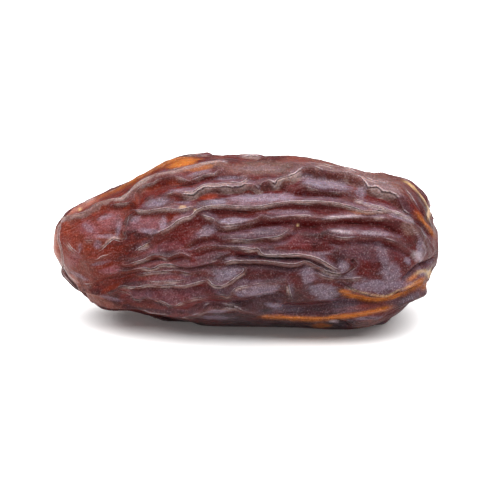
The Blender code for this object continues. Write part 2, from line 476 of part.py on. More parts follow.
def relief(along, clock):
    """How far the skin stands out from the bare body at each point, in mm."""
    skin = bare_skin(along, clock)
    # The outlines are those of the real, folded skin, so the folds stay low where they cross them.
    past_edge = np.abs(np.degrees(np.arctan2(np.sin(clock), np.cos(clock)))) - 90
    rising = smoothstep(0, EDGE_DEGREES, -past_edge) + smoothstep(0, FAR_EDGE_DEGREES, past_edge)
    share = EDGE_RELIEF + (1 - EDGE_RELIEF) * rising
    # The skin that the fruit lies on is pressed nearly smooth, and folds die out in the middle of the ends.
    height = skin[:, 1] * math.cos(ROLL) + skin[:, 2] * math.sin(ROLL)
    share *= LAIN_ON_RELIEF + (1 - LAIN_ON_RELIEF) * smoothstep(LAIN_ON_MM, FREE_MM, height - height.min())
    from_axis = np.hypot(skin[:, 1], skin[:, 2])
    share *= smoothstep(0, SCAR_RADIUS_MM * 2, from_axis)
    wrinkle = WRINKLE_MM * (1 - 2 * np.abs(wander(skin, WRINKLE_SPACING_MM, SEED)))
    return stalk_scar(along, from_axis) + share * (RELIEF * fold_relief(skin) + wrinkle)


def add_skin(name):
    """The wrinkled fruit, rolled to rest, as a fine mesh object whose Decimate modifier thins it."""
    mesh = bmesh.new()
    bmesh.ops.create_uvsphere(mesh, u_segments=AROUND, v_segments=ALONG, radius=1)
    unit = np.array([vert.co[:] for vert in mesh.verts])
    along = LENGTH_MM * (1 - unit[:, 2]) / 2
    clock = np.arctan2(unit[:, 1], unit[:, 0])
    skin = bare_skin(along, clock)
    way_out = outward(along, clock)
    tip = along < PROBE_MM
    stalk = along > LENGTH_MM - PROBE_MM
    way_out[tip] = (-1, 0, 0)
    way_out[stalk] = (1, 0, 0)
    skin = skin + way_out * relief(along, clock)[:, None]
    x = skin[:, 0]
    y = skin[:, 1] * math.sin(ROLL) - skin[:, 2] * math.cos(ROLL)
    z = skin[:, 1] * math.cos(ROLL) + skin[:, 2] * math.sin(ROLL)
    for vert, *place in zip(mesh.verts, x, y, z):
        vert.co = place
    if mesh.calc_volume(signed=True) < 0:
        bmesh.ops.reverse_faces(mesh, faces=mesh.faces)
    data = bpy.data.meshes.new(name)
    mesh.to_mesh(data)
    mesh.free()
    obj = bpy.data.objects.new(name, data)
    thin = obj.modifiers.new("thin", "DECIMATE")
    thin.ratio = SOLID_TRIANGLES / (2 * AROUND * (ALONG - 1))
    return obj


def rest_on_surface(obj):
    """Presses the lowest part flat, and puts the middle of the resting box's floor at the origin."""
    lowest = min(vert.co.z for vert in obj.data.vertices) + PRESS_MM
    for vert in obj.data.vertices:
        vert.co.z = max(vert.co.z - lowest, 0)
    xs, ys = ([vert.co[axis] for vert in obj.data.vertices] for axis in (0, 1))
    middle = Vector(((min(xs) + max(xs)) / 2, (min(ys) + max(ys)) / 2, 0))
    for vert in obj.data.vertices:
        vert.co = (vert.co - middle) * MM


def date_finish():
    """The reddish brown, slightly waxy skin."""
    finish = bpy.data.materials.new("date_skin")
    finish.use_nodes = True
    shader = finish.node_tree.nodes["Principled BSDF"]
    shader.inputs["Base Color"].default_value = (0.150, 0.032, 0.020, 1)
    shader.inputs["Roughness"].default_value = 0.42
    shader.inputs["Subsurface Weight"].default_value = 0.2
    shader.inputs["Subsurface Radius"].default_value = (0.003, 0.0008, 0.0003)
    return finish


def main():
    for obj in list(bpy.data.objects):
        bpy.data.objects.remove(obj)
    fruit = bpy.data.collections.new("medjool_date")
    bpy.context.scene.collection.children.link(fruit)
    fine = add_skin("fine_skin")
    fruit.objects.link(fine)
    graph = bpy.context.evaluated_depsgraph_get()
    data = bpy.data.meshes.new_from_object(fine.evaluated_get(graph))
    bpy.data.objects.remove(fine)
    data.name = "date"
    date = bpy.data.objects.new("date", data)
    fruit.objects.link(date)
    rest_on_surface(date)
    data.materials.clear()
    data.materials.append(date_finish())
    for face in data.polygons:
        face.use_smooth = True


main()
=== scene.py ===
"""A medjool date lying on its side: the fine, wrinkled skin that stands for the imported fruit, and its studio.

The fruit is drawn as it is seen from the front, with `along` running from the blossom tip to the stalk end,
`rise` up the picture and `depth` towards the viewer, all in millimetres. It is then rolled back, pressed on
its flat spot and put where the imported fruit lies. A place on the skin is (along, clock), where clock 0 faces
the viewer and a quarter turn is up.
"""

import logging
import math
from dataclasses import dataclass, field
from enum import Enum
from typing import Sequence

import bmesh
import bpy
import numpy as np
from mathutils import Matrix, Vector, noise


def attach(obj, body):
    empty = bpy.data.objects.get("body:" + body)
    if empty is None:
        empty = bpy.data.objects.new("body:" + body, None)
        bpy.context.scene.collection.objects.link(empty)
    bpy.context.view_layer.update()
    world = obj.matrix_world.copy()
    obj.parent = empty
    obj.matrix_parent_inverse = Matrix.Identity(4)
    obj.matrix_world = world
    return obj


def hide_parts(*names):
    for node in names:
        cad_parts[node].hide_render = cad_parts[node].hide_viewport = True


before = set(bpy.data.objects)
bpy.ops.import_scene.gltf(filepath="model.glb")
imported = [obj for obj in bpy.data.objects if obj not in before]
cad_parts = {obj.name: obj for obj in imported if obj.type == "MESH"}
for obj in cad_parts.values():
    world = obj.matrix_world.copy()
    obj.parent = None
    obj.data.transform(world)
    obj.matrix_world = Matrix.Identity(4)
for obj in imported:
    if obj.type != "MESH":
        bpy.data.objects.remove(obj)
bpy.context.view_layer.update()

log = logging.getLogger("medjool_date")

Span = tuple[float, float]
Outline = tuple[Span, ...]
# A line as it is drawn from the front: along and rise of its first point, then of its next, and so on.
Path = tuple[float, ...]
Ramp = tuple[float, float, float, float]
Colour = tuple[int, int, int]

MM = 0.001
SHORTEST_VECTOR = 1e-12

# A drawn line has at least this many samples. It fades out within END_FADE millimetres of its ends, or within
# a share of its length if that is less, and reaches as far as REACH times its fall.
FEWEST_SAMPLES = 4
END_FADE = 1.6
END_FADE_SHARE = 0.3
END_START_SHARE = 0.3
REACH = 3

SCREEN_WHITE = 255
SCREEN_GAMMA = 2.2
MIDDLE_GRAIN = 0.5
# What a fine line puts out: a pale worn side, a painted highlight on its edge, painted shade in its core, and
# its height.
LINE_SHARES = ("Light", "Bright", "PaintedShade", "Height")
RAMP_SOCKETS = ("Value", "From Min", "From Max", "To Min", "To Max")
# Where a mix node that is set to colours has its share and its two colours, and its result.
COLOUR_MIX_INPUTS = (0, 6, 7)
COLOUR_MIX_OUTPUT = 2


class Tint(Enum):
    """The tints that lie on the skin. Each is a number from 0 to 1 at every point of the mesh."""

    CREST = "crest"
    MAUVE = "mauve"
    # Painted deep red shade in the valleys and on slopes that face down.
    PAINTED_SHADE = "painted_shade"
    EMBER = "ember"
    ROSE = "rose"
    AMBER = "amber"
    # Lavender wax with painted sheen.
    BLOOM = "wax_and_sheen"
    # Painted highlight.
    PAINTED_HIGHLIGHT = "painted_highlight"
    # Dry pale spots, and painted rim highlights at the stalk end.
    CREAM = "cream"
    # Painted shade and reflection of the shaded floor on the underside.
    PAINTED_UNDERSIDE_SHADE = "painted_underside_shade"


@dataclass(frozen=True)
class Fall:
    """How far a line dies away above (or left of) it and below (or right of) it, and how broad its top is.

    A flatness of 1 is a sharp ridge, 2 a roll, 3 and more a shelf.
    """

    above: float
    below: float
    flatness: float


@dataclass(frozen=True)
class Fold:
    """A fold of the skin, drawn from the front. A negative height is a crease."""

    height: float
    fall_above: float
    fall_below: float
    flatness: float
    path: Path

    @property
    def fall(self) -> Fall:
        """How the fold dies away."""
        return Fall(self.fall_above, self.fall_below, self.flatness)


@dataclass(frozen=True)
class Stroke:
    """A line of tint on the skin, with its strength, its fall above and below, and its path."""

    tint: Tint
    strength: float
    fall_above: float
    fall_below: float
    path: Path


@dataclass(frozen=True)
class Patch:
    """A soft oval of tint: its middle, half its length and height, and its slant in degrees."""

    tint: Tint
    strength: float
    along: float
    rise: float
    half_length: float
    half_height: float
    slant: float = 0.0


@dataclass(frozen=True)
class Wander:
    """Smooth noise on the skin: its spacing in millimetres, its seed, and its lengthwise scale."""

    spacing: float
    seed: int
    stretch: float


@dataclass(frozen=True)
class Grain:
    """Noise of a finish: how many grains there are to the metre, their detail and their roughness."""

    scale: float
    detail: float
    roughness: float


TOP_OUTLINE = (
    (0.6, 3.2), (1.2, 3.7), (3.0, 5.0), (6.0, 6.8), (9.0, 8.2), (12.0, 9.6), (15.0, 11.2), (18.0, 12.8),
    (22.0, 13.4), (26.0, 13.4), (30.0, 13.0), (36.0, 13.2), (40.0, 12.7), (43.0, 11.8), (46.0, 10.9),
    (49.0, 10.6), (52.0, 10.0), (54.0, 8.7), (56.0, 5.8), (56.8, 3.6),
)
BOTTOM_OUTLINE = (
    (0.6, 1.6), (1.4, 2.5), (3.0, 4.7), (4.5, 6.0), (7.0, 8.2), (12.0, 8.9), (15.0, 9.8), (18.0, 10.5),
    (24.0, 11.6), (30.0, 11.8), (36.0, 11.9), (42.0, 12.2), (46.0, 12.0), (50.0, 10.6), (52.0, 9.4),
    (54.0, 7.0), (56.0, 4.4), (56.8, 2.9),
)

# The folds of the seen side, as the fields of Fold.
SEEN_FOLDS = (
    # The shoulder: the long edge of the flat facet along the upper left.
    (0.55, 0.5, 0.8, 1.2, (1.1, 4.1, 2.2, 4.4, 4, 4.85, 5, 5.3, 6, 6, 7.2, 6.6, 8.5, 6.85, 10, 7, 10.8, 7.5,
        12.4, 8.8, 13.4, 9.6, 14.6, 10.3, 16, 10.8, 17.5, 11, 18.6, 11.5, 20, 11.7, 21.5, 12.1, 23, 12.5,
        26, 12.9)),
    (0.45, 0.8, 0.35, 1.2, (8, 6.4, 10.3, 6.4, 11.4, 6.6, 12, 7.1, 12.2, 7.9, 12.8, 8.6, 14.2, 9.3,
        15.6, 9.7, 16.4, 10.3, 18.2, 10.3, 19.2, 10, 20.5, 9.8, 21.3, 10.3, 22.6, 10.8, 24.2, 10.7,
        25, 11.1)),
    (-0.6, 0.35, 0.8, 1.4, (2, 3.4, 4, 4.3, 6, 5.3, 7.5, 5.9, 9, 5.9, 11, 6, 12.3, 6.4, 12.7, 7.5,
        13.3, 8.5, 15, 9, 16.5, 9.4, 18, 9.7, 20.5, 9.3, 22, 10.2, 24, 10.3, 26, 10.6, 28, 10.3,
        28.8, 9.9)),
    # The brow: the upper band, from the left pocket right round to the stalk end.
    (0.7, 0.9, 0.4, 1.3, (17.5, 8.1, 19, 7.95, 20.6, 7.95, 21.4, 8.4, 22.4, 8.95, 23.5, 9, 25, 9.1, 27, 9.3,
        28.6, 9.4, 30.4, 9.3, 32, 9.8, 34, 10, 35.5, 10.5, 36.6, 11.2, 38, 11.75, 40, 11.7, 42, 11.3,
        44, 11.1, 45.6, 10.5, 47, 9.6, 48.6, 9.1, 50.2, 8.5, 51.4, 8.1, 52.6, 7.2, 53.4, 6.4)),
    (-0.7, 0.4, 0.8, 1.4, (18, 7.4, 20.8, 7.4, 22, 8, 23.5, 8.4, 26, 8.3, 28.5, 8.5, 30.3, 8.3, 31.7, 8.8,
        33.3, 9, 34.5, 8.9, 36, 8.3, 38, 7.9, 41, 7.8, 43.6, 7.6)),
    (-0.8, 0.4, 0.7, 1.4, (34.8, 9.2, 36, 10.1, 37.3, 10.9, 39, 10.9, 41, 10.6, 43, 10.3, 45, 9.9,
        46.3, 9.2, 47.3, 8.4, 49, 7.9, 50.5, 7.3, 52, 6.4, 53.3, 5.4, 54.5, 4.3, 55.8, 3, 57, 1.8)),
    (0.6, 0.75, 0.75, 3, (36.3, 9, 38, 9.4, 40, 9.2, 42, 9, 44, 8.7, 45.5, 8.4, 46.5, 7.8)),
    # The long band that runs nearly straight through the upper middle, and its crease.
    (0.75, 1.1, 0.4, 1.5, (15, 1.8, 16.8, 2.4, 17.5, 2.9, 18.4, 3.7, 19.3, 4.1, 20.3, 4.3, 21, 4.7,
        21.6, 5.3, 22.3, 5.9, 24, 6, 25.5, 6.25, 27, 6.2, 28.5, 6, 30, 6.05, 31.5, 6.1, 33, 6.35, 34.5, 6.6,
        36, 6.7, 38, 6.7, 40, 6.7, 41.5, 6.55, 43, 6.3, 44.5, 6, 45.5, 5.7, 46.5, 5.35, 47.5, 5.2,
        49, 5.2)),
    (-0.5, 0.3, 0.9, 1.4, (22.5, 5, 25, 5.1, 28, 5.2, 31, 5.3, 33, 5.8, 35, 6.1, 38, 6.1, 41, 5.95,
        43.5, 5.7)),
    (0.55, 0.35, 0.7, 1.3, (45.3, 7.2, 46, 6.6, 47.5, 6.3, 49, 5.9, 50.3, 5.4, 51.6, 5, 52.8, 4.4,
        53.8, 3.9, 54.4, 3.4)),
    # The second band, just under it.
    (0.7, 0.7, 0.5, 1.5, (21.5, 4.6, 22.6, 4.5, 23.4, 4.2, 24.2, 3.8, 25, 3.4, 26, 3.35, 27.5, 3.5, 29, 3.8,
        30.3, 4.1, 31.1, 4.5, 32.3, 4.2, 33.5, 4.3, 35, 4.6, 37, 4.5, 39, 4.4, 41, 4.3, 43, 4.3, 45, 4.4,
        47, 4.2, 49, 4.1, 51, 3.9, 52.5, 3.5, 53.8, 2.7, 54.8, 1.6, 55.2, 0.4)),
    (-0.6, 0.35, 0.6, 1.4, (22.5, 3.6, 24, 2.9, 25.5, 2.2, 27.5, 2.4, 29.5, 2.8, 31.5, 3.2, 33.5, 3.4,
        36, 3.5, 38, 3.3, 40, 3.3, 42, 3.6, 45, 3.6, 48, 3.4, 49.8, 3.1, 51.2, 2.3, 52.6, 1.5)),
    (-0.5, 0.7, 0.7, 2, (36.5, 3, 38.5, 2.9, 40.3, 2.6)),
    # The cheek and the two spindles of the middle.
    (0.5, 0.9, 0.35, 1.3, (19.6, -0.2, 20.3, 0.4, 21.1, 1, 22, 1.4, 23.4, 1.45, 24.3, 1.8)),
    (-0.6, 0.4, 0.4, 1.4, (20.2, -0.6, 20.9, 0.2, 21.8, 0.7, 23, 1, 24.3, 0.9, 25.2, 0.3, 27, 0.3, 29, 0.5,
        31.5, 0.6, 33.3, 0.7, 34.6, 1, 35.6, 1.5, 36.5, 2.3, 37.3, 3)),
    (0.55, 0.8, 0.65, 2.5, (24.8, 1.3, 26.5, 1.5, 28.5, 1.7, 31, 1.9, 33, 2, 34.7, 2.2, 35.9, 2.6)),
    (0.65, 0.7, 0.7, 2.5, (40.9, 2, 42.5, 2, 44.5, 1.9, 46.5, 1.9, 48.5, 1.8, 50.2, 1.5, 51.8, 0.9,
        53, 0.2)),
    (-0.65, 0.35, 0.6, 1.4, (40.3, 1.2, 41.3, 0.7, 43, 0.4, 45, 0.5, 47, 0.6, 49, 0.5, 50.5, 0.1, 52, -0.6,
        53.2, -1.2, 54.2, -2.2)),
    (-0.3, 0.3, 0.4, 1.4, (34.5, -0.7, 36.5, -0.8, 38.5, -0.8, 40.5, -0.7, 42, -0.4, 43, 0)),
    (0.25, 0.3, 0.3, 1.3, (19, -0.5, 20.8, -0.7, 21.7, -0.3, 23, 0, 24.5, 0.05, 26, -0.1, 28.5, -0.25,
        31, -0.3, 33, -0.5)),
    (-0.45, 0.4, 0.4, 1.4, (21.3, -1.4, 22.4, -1.3, 23.5, -0.8, 25, -0.7, 26.5, -0.7, 27.4, -1.1)),
    # The step that runs into the curl on the right, with the grey ridge under it.
    (0.55, 0.8, 0.3, 1.3, (27.6, -0.7, 29.2, -0.55, 30.6, -0.5, 31.1, -1, 32, -1.35, 34, -1.4, 36, -1.45,
        37.6, -1.5, 38.8, -1.8, 40, -2.3, 41.2, -2.9, 42.2, -3.4, 43.2, -3.6, 44, -3.2, 44.3, -2.5,
        44, -1.9)),
    (-1, 0.3, 0.3, 1.3, (26.5, -1.65, 29, -1.65, 31, -1.75, 33, -1.9, 35, -1.95, 37, -2, 38.4, -2.2,
        39.6, -2.75, 40.8, -3.25, 42, -3.7, 43, -3.85)),
    (0.7, 0.35, 0.35, 1.5, (25.4, -2.4, 26.5, -2.3, 28, -2.15, 30, -2.2, 32, -2.35, 34, -2.6, 35.8, -2.75,
        37, -2.6, 38.1, -2.45, 39, -2.95, 40.2, -3.4, 41.4, -3.8, 42.6, -4.05, 43.7, -4, 44.6, -3.5)),
    (-0.7, 0.3, 0.5, 1.4, (25.1, -2.9, 26.4, -3, 27.6, -2.7, 29, -2.8, 31.5, -2.85, 33.5, -3.1, 35, -3.4,
        36.3, -3.3, 37.4, -2.9, 38.3, -2.9, 39.3, -3.4, 40.5, -3.9, 41.8, -4.3, 43, -4.45, 44.1, -4.2,
        44.9, -3.5, 45.4, -2.8, 44.9, -2.2, 44, -1.9)),
    (0.3, 0.3, 0.4, 1.3, (38.5, -3.4, 39.4, -4.1, 40.6, -4.6, 42, -4.9, 43.5, -4.85, 45.2, -4.95,
        47, -4.75)),
    (0.35, 0.9, 0.9, 2, (49.3, -0.6, 49.8, -2.2, 49.4, -4, 48.6, -5)),
    (-0.45, 0.6, 0.6, 2, (44.6, -2.3, 45.2, -2.6)),
    # The two folds with the bared orange crests, low on the right.
    (-0.4, 0.5, 0.25, 1.4, (43, -5.1, 43.8, -6, 44.8, -6.5, 46, -6.85, 47.5, -7.05, 49.3, -7.1, 51, -6.8,
        52.2, -6.1, 53.3, -5.3, 54.2, -4.6)),
    (1, 0.5, 0.6, 1.6, (43.2, -6.9, 44.5, -7, 46, -7.4, 47.5, -7.65, 49, -7.7, 50.5, -7.5, 52, -6.8,
        53.3, -6, 54.5, -5.2, 55.6, -4.6)),
    (-0.7, 0.35, 0.5, 1.4, (43, -8.4, 45, -8.1, 46.3, -8.1, 47.6, -8.35, 49.2, -8.5, 51, -8.2, 52.5, -7.5,
        54, -6.7, 55.2, -6)),
    (-0.7, 0.6, 0.5, 1.5, (33.5, -9.3, 35.5, -9.5, 37.5, -9.5, 39.5, -9.4, 41.5, -9.2, 43, -8.8,
        44.5, -8.4)),
    (0.9, 0.5, 0.5, 1.5, (32, -10.4, 34, -10.7, 36, -10.85, 38.5, -10.9, 41, -10.8, 43, -10.4, 45, -10,
        47, -9.8, 49, -9.6, 50.8, -9.2, 52.4, -8.7, 53.8, -8.1, 55, -7.2, 55.7, -6.4)),
    (0.25, 0.3, 0.3, 1.3, (43.5, -9.3, 45.5, -9.1, 47.5, -9.1, 49.5, -8.95, 51.2, -8.6, 52.8, -7.9,
        54.2, -7.1, 55.4, -6.2)),
    (-0.8, 0.3, 0.5, 1.4, (31, -10.6, 33, -11.2, 35, -11.4, 38, -11.45, 41, -11.4, 42.5, -11.6, 43.6, -12,
        44.6, -12.3)),
    (0.45, 0.9, 0.9, 2, (44.2, -11.4, 46, -11.6, 48, -11.4, 50, -10.6)),
    # The smooth shelves of the lower middle.
    (0.8, 0.85, 0.9, 3.5, (27.2, -7.2, 29, -7, 31, -6.6, 33, -6.3, 34.6, -6.2, 35.3, -7)),
    (-0.6, 0.3, 0.6, 1.4, (26.5, -8.6, 28, -8.9, 29.5, -8.5, 30.7, -8, 32, -7.6, 33.2, -7.2, 34.3, -7.2,
        35, -7.9)),
    (0.4, 0.2, 0.4, 1.3, (23.8, -7.3, 25, -7.35, 26, -7.45, 26.7, -7.1)),
    (0.45, 0.3, 0.4, 1.5, (32.5, -8.7, 33.4, -8.8, 34.5, -9.2)),
    (0.8, 0.7, 0.85, 3, (21.8, -4.2, 23.3, -4.5, 25, -4.9, 26.3, -4.6, 27.4, -4, 28.2, -3.6)),
    (-0.45, 0.25, 0.5, 1.4, (22.5, -5.6, 23.6, -6.2, 24.9, -6.4, 26.2, -6.1, 27.4, -5.3, 28.6, -4.5,
        29.3, -3.5)),
    # The fine long lines of the lower left.
    (0.6, 0.6, 0.3, 1.3, (10.3, -6.1, 11.6, -6.25, 13, -6, 14.3, -5.8, 16, -5.9, 18, -5.9, 19.6, -6.05,
        20.8, -5.75, 21.8, -5.3, 22.6, -5)),
    (0.25, 0.25, 0.2, 1.3, (13.6, -5.2, 15, -5.4, 17, -5.35, 18.6, -5.15, 20, -5)),
    (-0.6, 0.25, 0.6, 1.4, (10.5, -6.6, 12, -6.5, 14, -6.35, 16.5, -6.35, 19.5, -6.5, 21.5, -6.3,
        23, -6.2)),
    (0.55, 0.5, 0.3, 1.3, (9.6, -2.8, 11, -2.75, 12.4, -2.45, 13.6, -2, 14.8, -1.6, 16.2, -1.5, 17.2, -1.75,
        18.3, -1.4, 19.4, -1.25, 20.3, -1.6, 21, -2.1)),
    (-0.55, 0.25, 0.4, 1.4, (9.8, -3.2, 11.5, -3.2, 13, -2.7, 14.5, -2.2, 16, -2, 17.5, -2.15, 18.8, -1.8,
        19.8, -1.9, 20.4, -2.3)),
    (0.6, 0.5, 0.3, 1.3, (8.4, -4.3, 9.6, -4, 11.2, -3.85, 12.4, -3.5, 14.2, -3.3, 15.6, -2.85, 16.6, -2.55,
        18, -2.75, 19.4, -3, 20.6, -3.05, 22, -2.8, 23.2, -2.55, 24.2, -2.3, 25, -1.7, 25.8, -1.3)),
    (-0.55, 0.25, 0.35, 1.4, (14, -3.6, 15.5, -3.2, 17, -3, 18.4, -3.2, 20, -3.4, 21.5, -3.25, 23.2, -2.95,
        24.6, -2.8, 25.2, -2.9)),
    (0.35, 0.3, 0.25, 1.3, (17.5, -3.4, 18.8, -3.6, 20.2, -3.9, 21.4, -3.7, 22.8, -3.55, 24.3, -3.6)),
    (-0.4, 0.3, 0.3, 1.4, (15, -3.9, 17, -4.1, 18.8, -4.2, 20.6, -4.3, 21.8, -4.1)),
    (-0.55, 0.3, 0.3, 1.4, (6, -6.7, 6.8, -5.8, 7.8, -5.2, 9, -4.75, 10.2, -4.25, 11.4, -4.1, 12.6, -3.9,
        14, -3.7)),
    (-0.75, 0.5, 0.5, 1.8, (6.8, -7, 8, -6.4, 9.2, -5.8, 10.4, -5.4, 11.6, -5.1, 13, -4.8)),
    # The rope of skin along the bottom left, and the rim under it.
    (0.75, 0.7, 0.35, 1.4, (3.6, -6.3, 5, -6.9, 6.4, -7.4, 7.5, -7.6, 8.6, -7.2, 9.5, -6.75, 10.6, -6.5,
        11.5, -6.9, 12, -7.6, 13, -7.95, 14.6, -7.9, 16, -8.2, 17.2, -8.7, 18.2, -8.85, 19.2, -8.4,
        20.4, -8, 21.6, -7.85, 22.8, -7.7)),
    (-0.8, 0.4, 0.5, 1.4, (10.4, -7.4, 11.2, -8.2, 12.4, -8.7, 14.2, -8.7, 15.8, -9.1, 17.2, -9.6,
        18.4, -10, 19.6, -10.2, 20.4, -9.9, 21.6, -9.3, 22.8, -8.9, 24.5, -8.95, 26.5, -9.1, 28.3, -8.9,
        29.4, -8.6)),
    (0.45, 0.6, 0.6, 2, (18.8, -9.2, 20.2, -8.8, 21.6, -8.4, 22.8, -8.3)),
    (0.6, 0.5, 0.4, 1.4, (5, -8, 7, -8.8, 9.5, -9.3, 12, -9.5, 14.5, -9.9, 16.5, -10.3, 18.2, -10.7,
        19.5, -10.9, 20.8, -10.6, 22, -10.1, 23.4, -9.7, 25.5, -9.75, 28, -9.75, 29.8, -9.95, 31.2, -10.4,
        32.6, -11)),
    # The left pocket and the lines round it.
    (0.45, 0.5, 0.3, 1.3, (11.2, 4.9, 12, 5.25, 13.5, 5.3, 15.5, 5.55, 17.3, 5.7, 19, 5.55, 20.2, 5.7,
        21.2, 6, 22.2, 6.2)),
    (-0.4, 0.25, 0.5, 1.4, (11.8, 4.8, 13.5, 4.85, 15.2, 4.9, 16.4, 4.7, 17.2, 4.2, 18.2, 4.5, 19.5, 4.9,
        20.6, 5)),
    (0.35, 0.35, 0.35, 1.3, (11.2, 4.9, 11, 4.1, 10.6, 3, 10.4, 2, 10.6, 1.2, 10, 0.9, 9, 1.05, 8.2, 0.7,
        7.5, 0.1, 6.6, -0.6)),
    (-0.45, 0.4, 0.4, 1.4, (12.4, 6.4, 11.3, 5.6, 10.5, 4.9, 10.1, 4)),
    (0.35, 0.4, 0.5, 1.3, (13.8, 5.9, 14.4, 6.6, 15.3, 7, 16.4, 7.2, 17.2, 7.8, 17.9, 8.3, 19, 8.6,
        20, 8.5)),
    (0.2, 0.3, 0.2, 1.3, (4, 1, 5.2, 1.1, 6.5, 1, 7.6, 0.8)),
    (0.25, 0.3, 0.3, 1.3, (1.8, 0.7, 2.5, -0.2, 3.1, -0.8, 3.6, -1.1, 3.85, -0.4, 4, 0.6)),
    (0.35, 0.25, 0.3, 1.3, (4, -2.8, 5, -2.3, 6.3, -2.1, 7.3, -1.7, 8.6, -1.3, 9.6, -1.2)),
    (0.35, 0.4, 0.3, 1.3, (12.1, -0.9, 13.1, -0.2, 14, 0.4, 15, 1.1, 16, 1.8, 16.9, 2.3)),
    (-0.35, 0.3, 0.4, 1.4, (11, -1.9, 12.4, -1.5, 13.6, -0.9, 14.8, -0.4, 15.5, 0.4, 16.4, 1.1, 17.4, 1.5)),
    # The lines that follow the top edge.
    (0.3, 0.35, 0.3, 1.3, (27.3, 11.5, 28.5, 11.4, 30, 11.5, 32, 11.5, 33.5, 11.4, 35, 11.6)),
    (-0.35, 0.3, 0.3, 1.4, (27.8, 12, 29.5, 12.2, 31.5, 12.1, 33.2, 11.8, 34.5, 11.9)),
    (0.35, 0.4, 0.35, 1.3, (33.8, 12.3, 36, 12.35, 38.5, 12.2, 41, 11.9, 43, 11.6, 45, 11.2, 47, 10.6,
        49, 10, 50.8, 9.3, 52, 8.7, 53, 7.8)),
    # The stalk end: the notch and the facets round it.
    (-1.1, 0.3, 0.35, 1.3, (52.2, -5, 53.1, -4.7, 54, -3.9, 54.7, -3.2, 55.5, -2.9, 56.4, -2.5, 57.2, -2)),
    (0.35, 0.3, 0.5, 1.4, (53.2, -1.3, 53.9, -1.1, 54.6, -0.6, 55.1, 0.2, 55.4, 1.2, 55.2, 2.3, 54.6, 3.1)),
    (0.3, 0.3, 0.3, 1.4, (55.4, 2.3, 56, 1.2, 56.6, 0.2, 57, -0.6, 57, -1.3)),
)
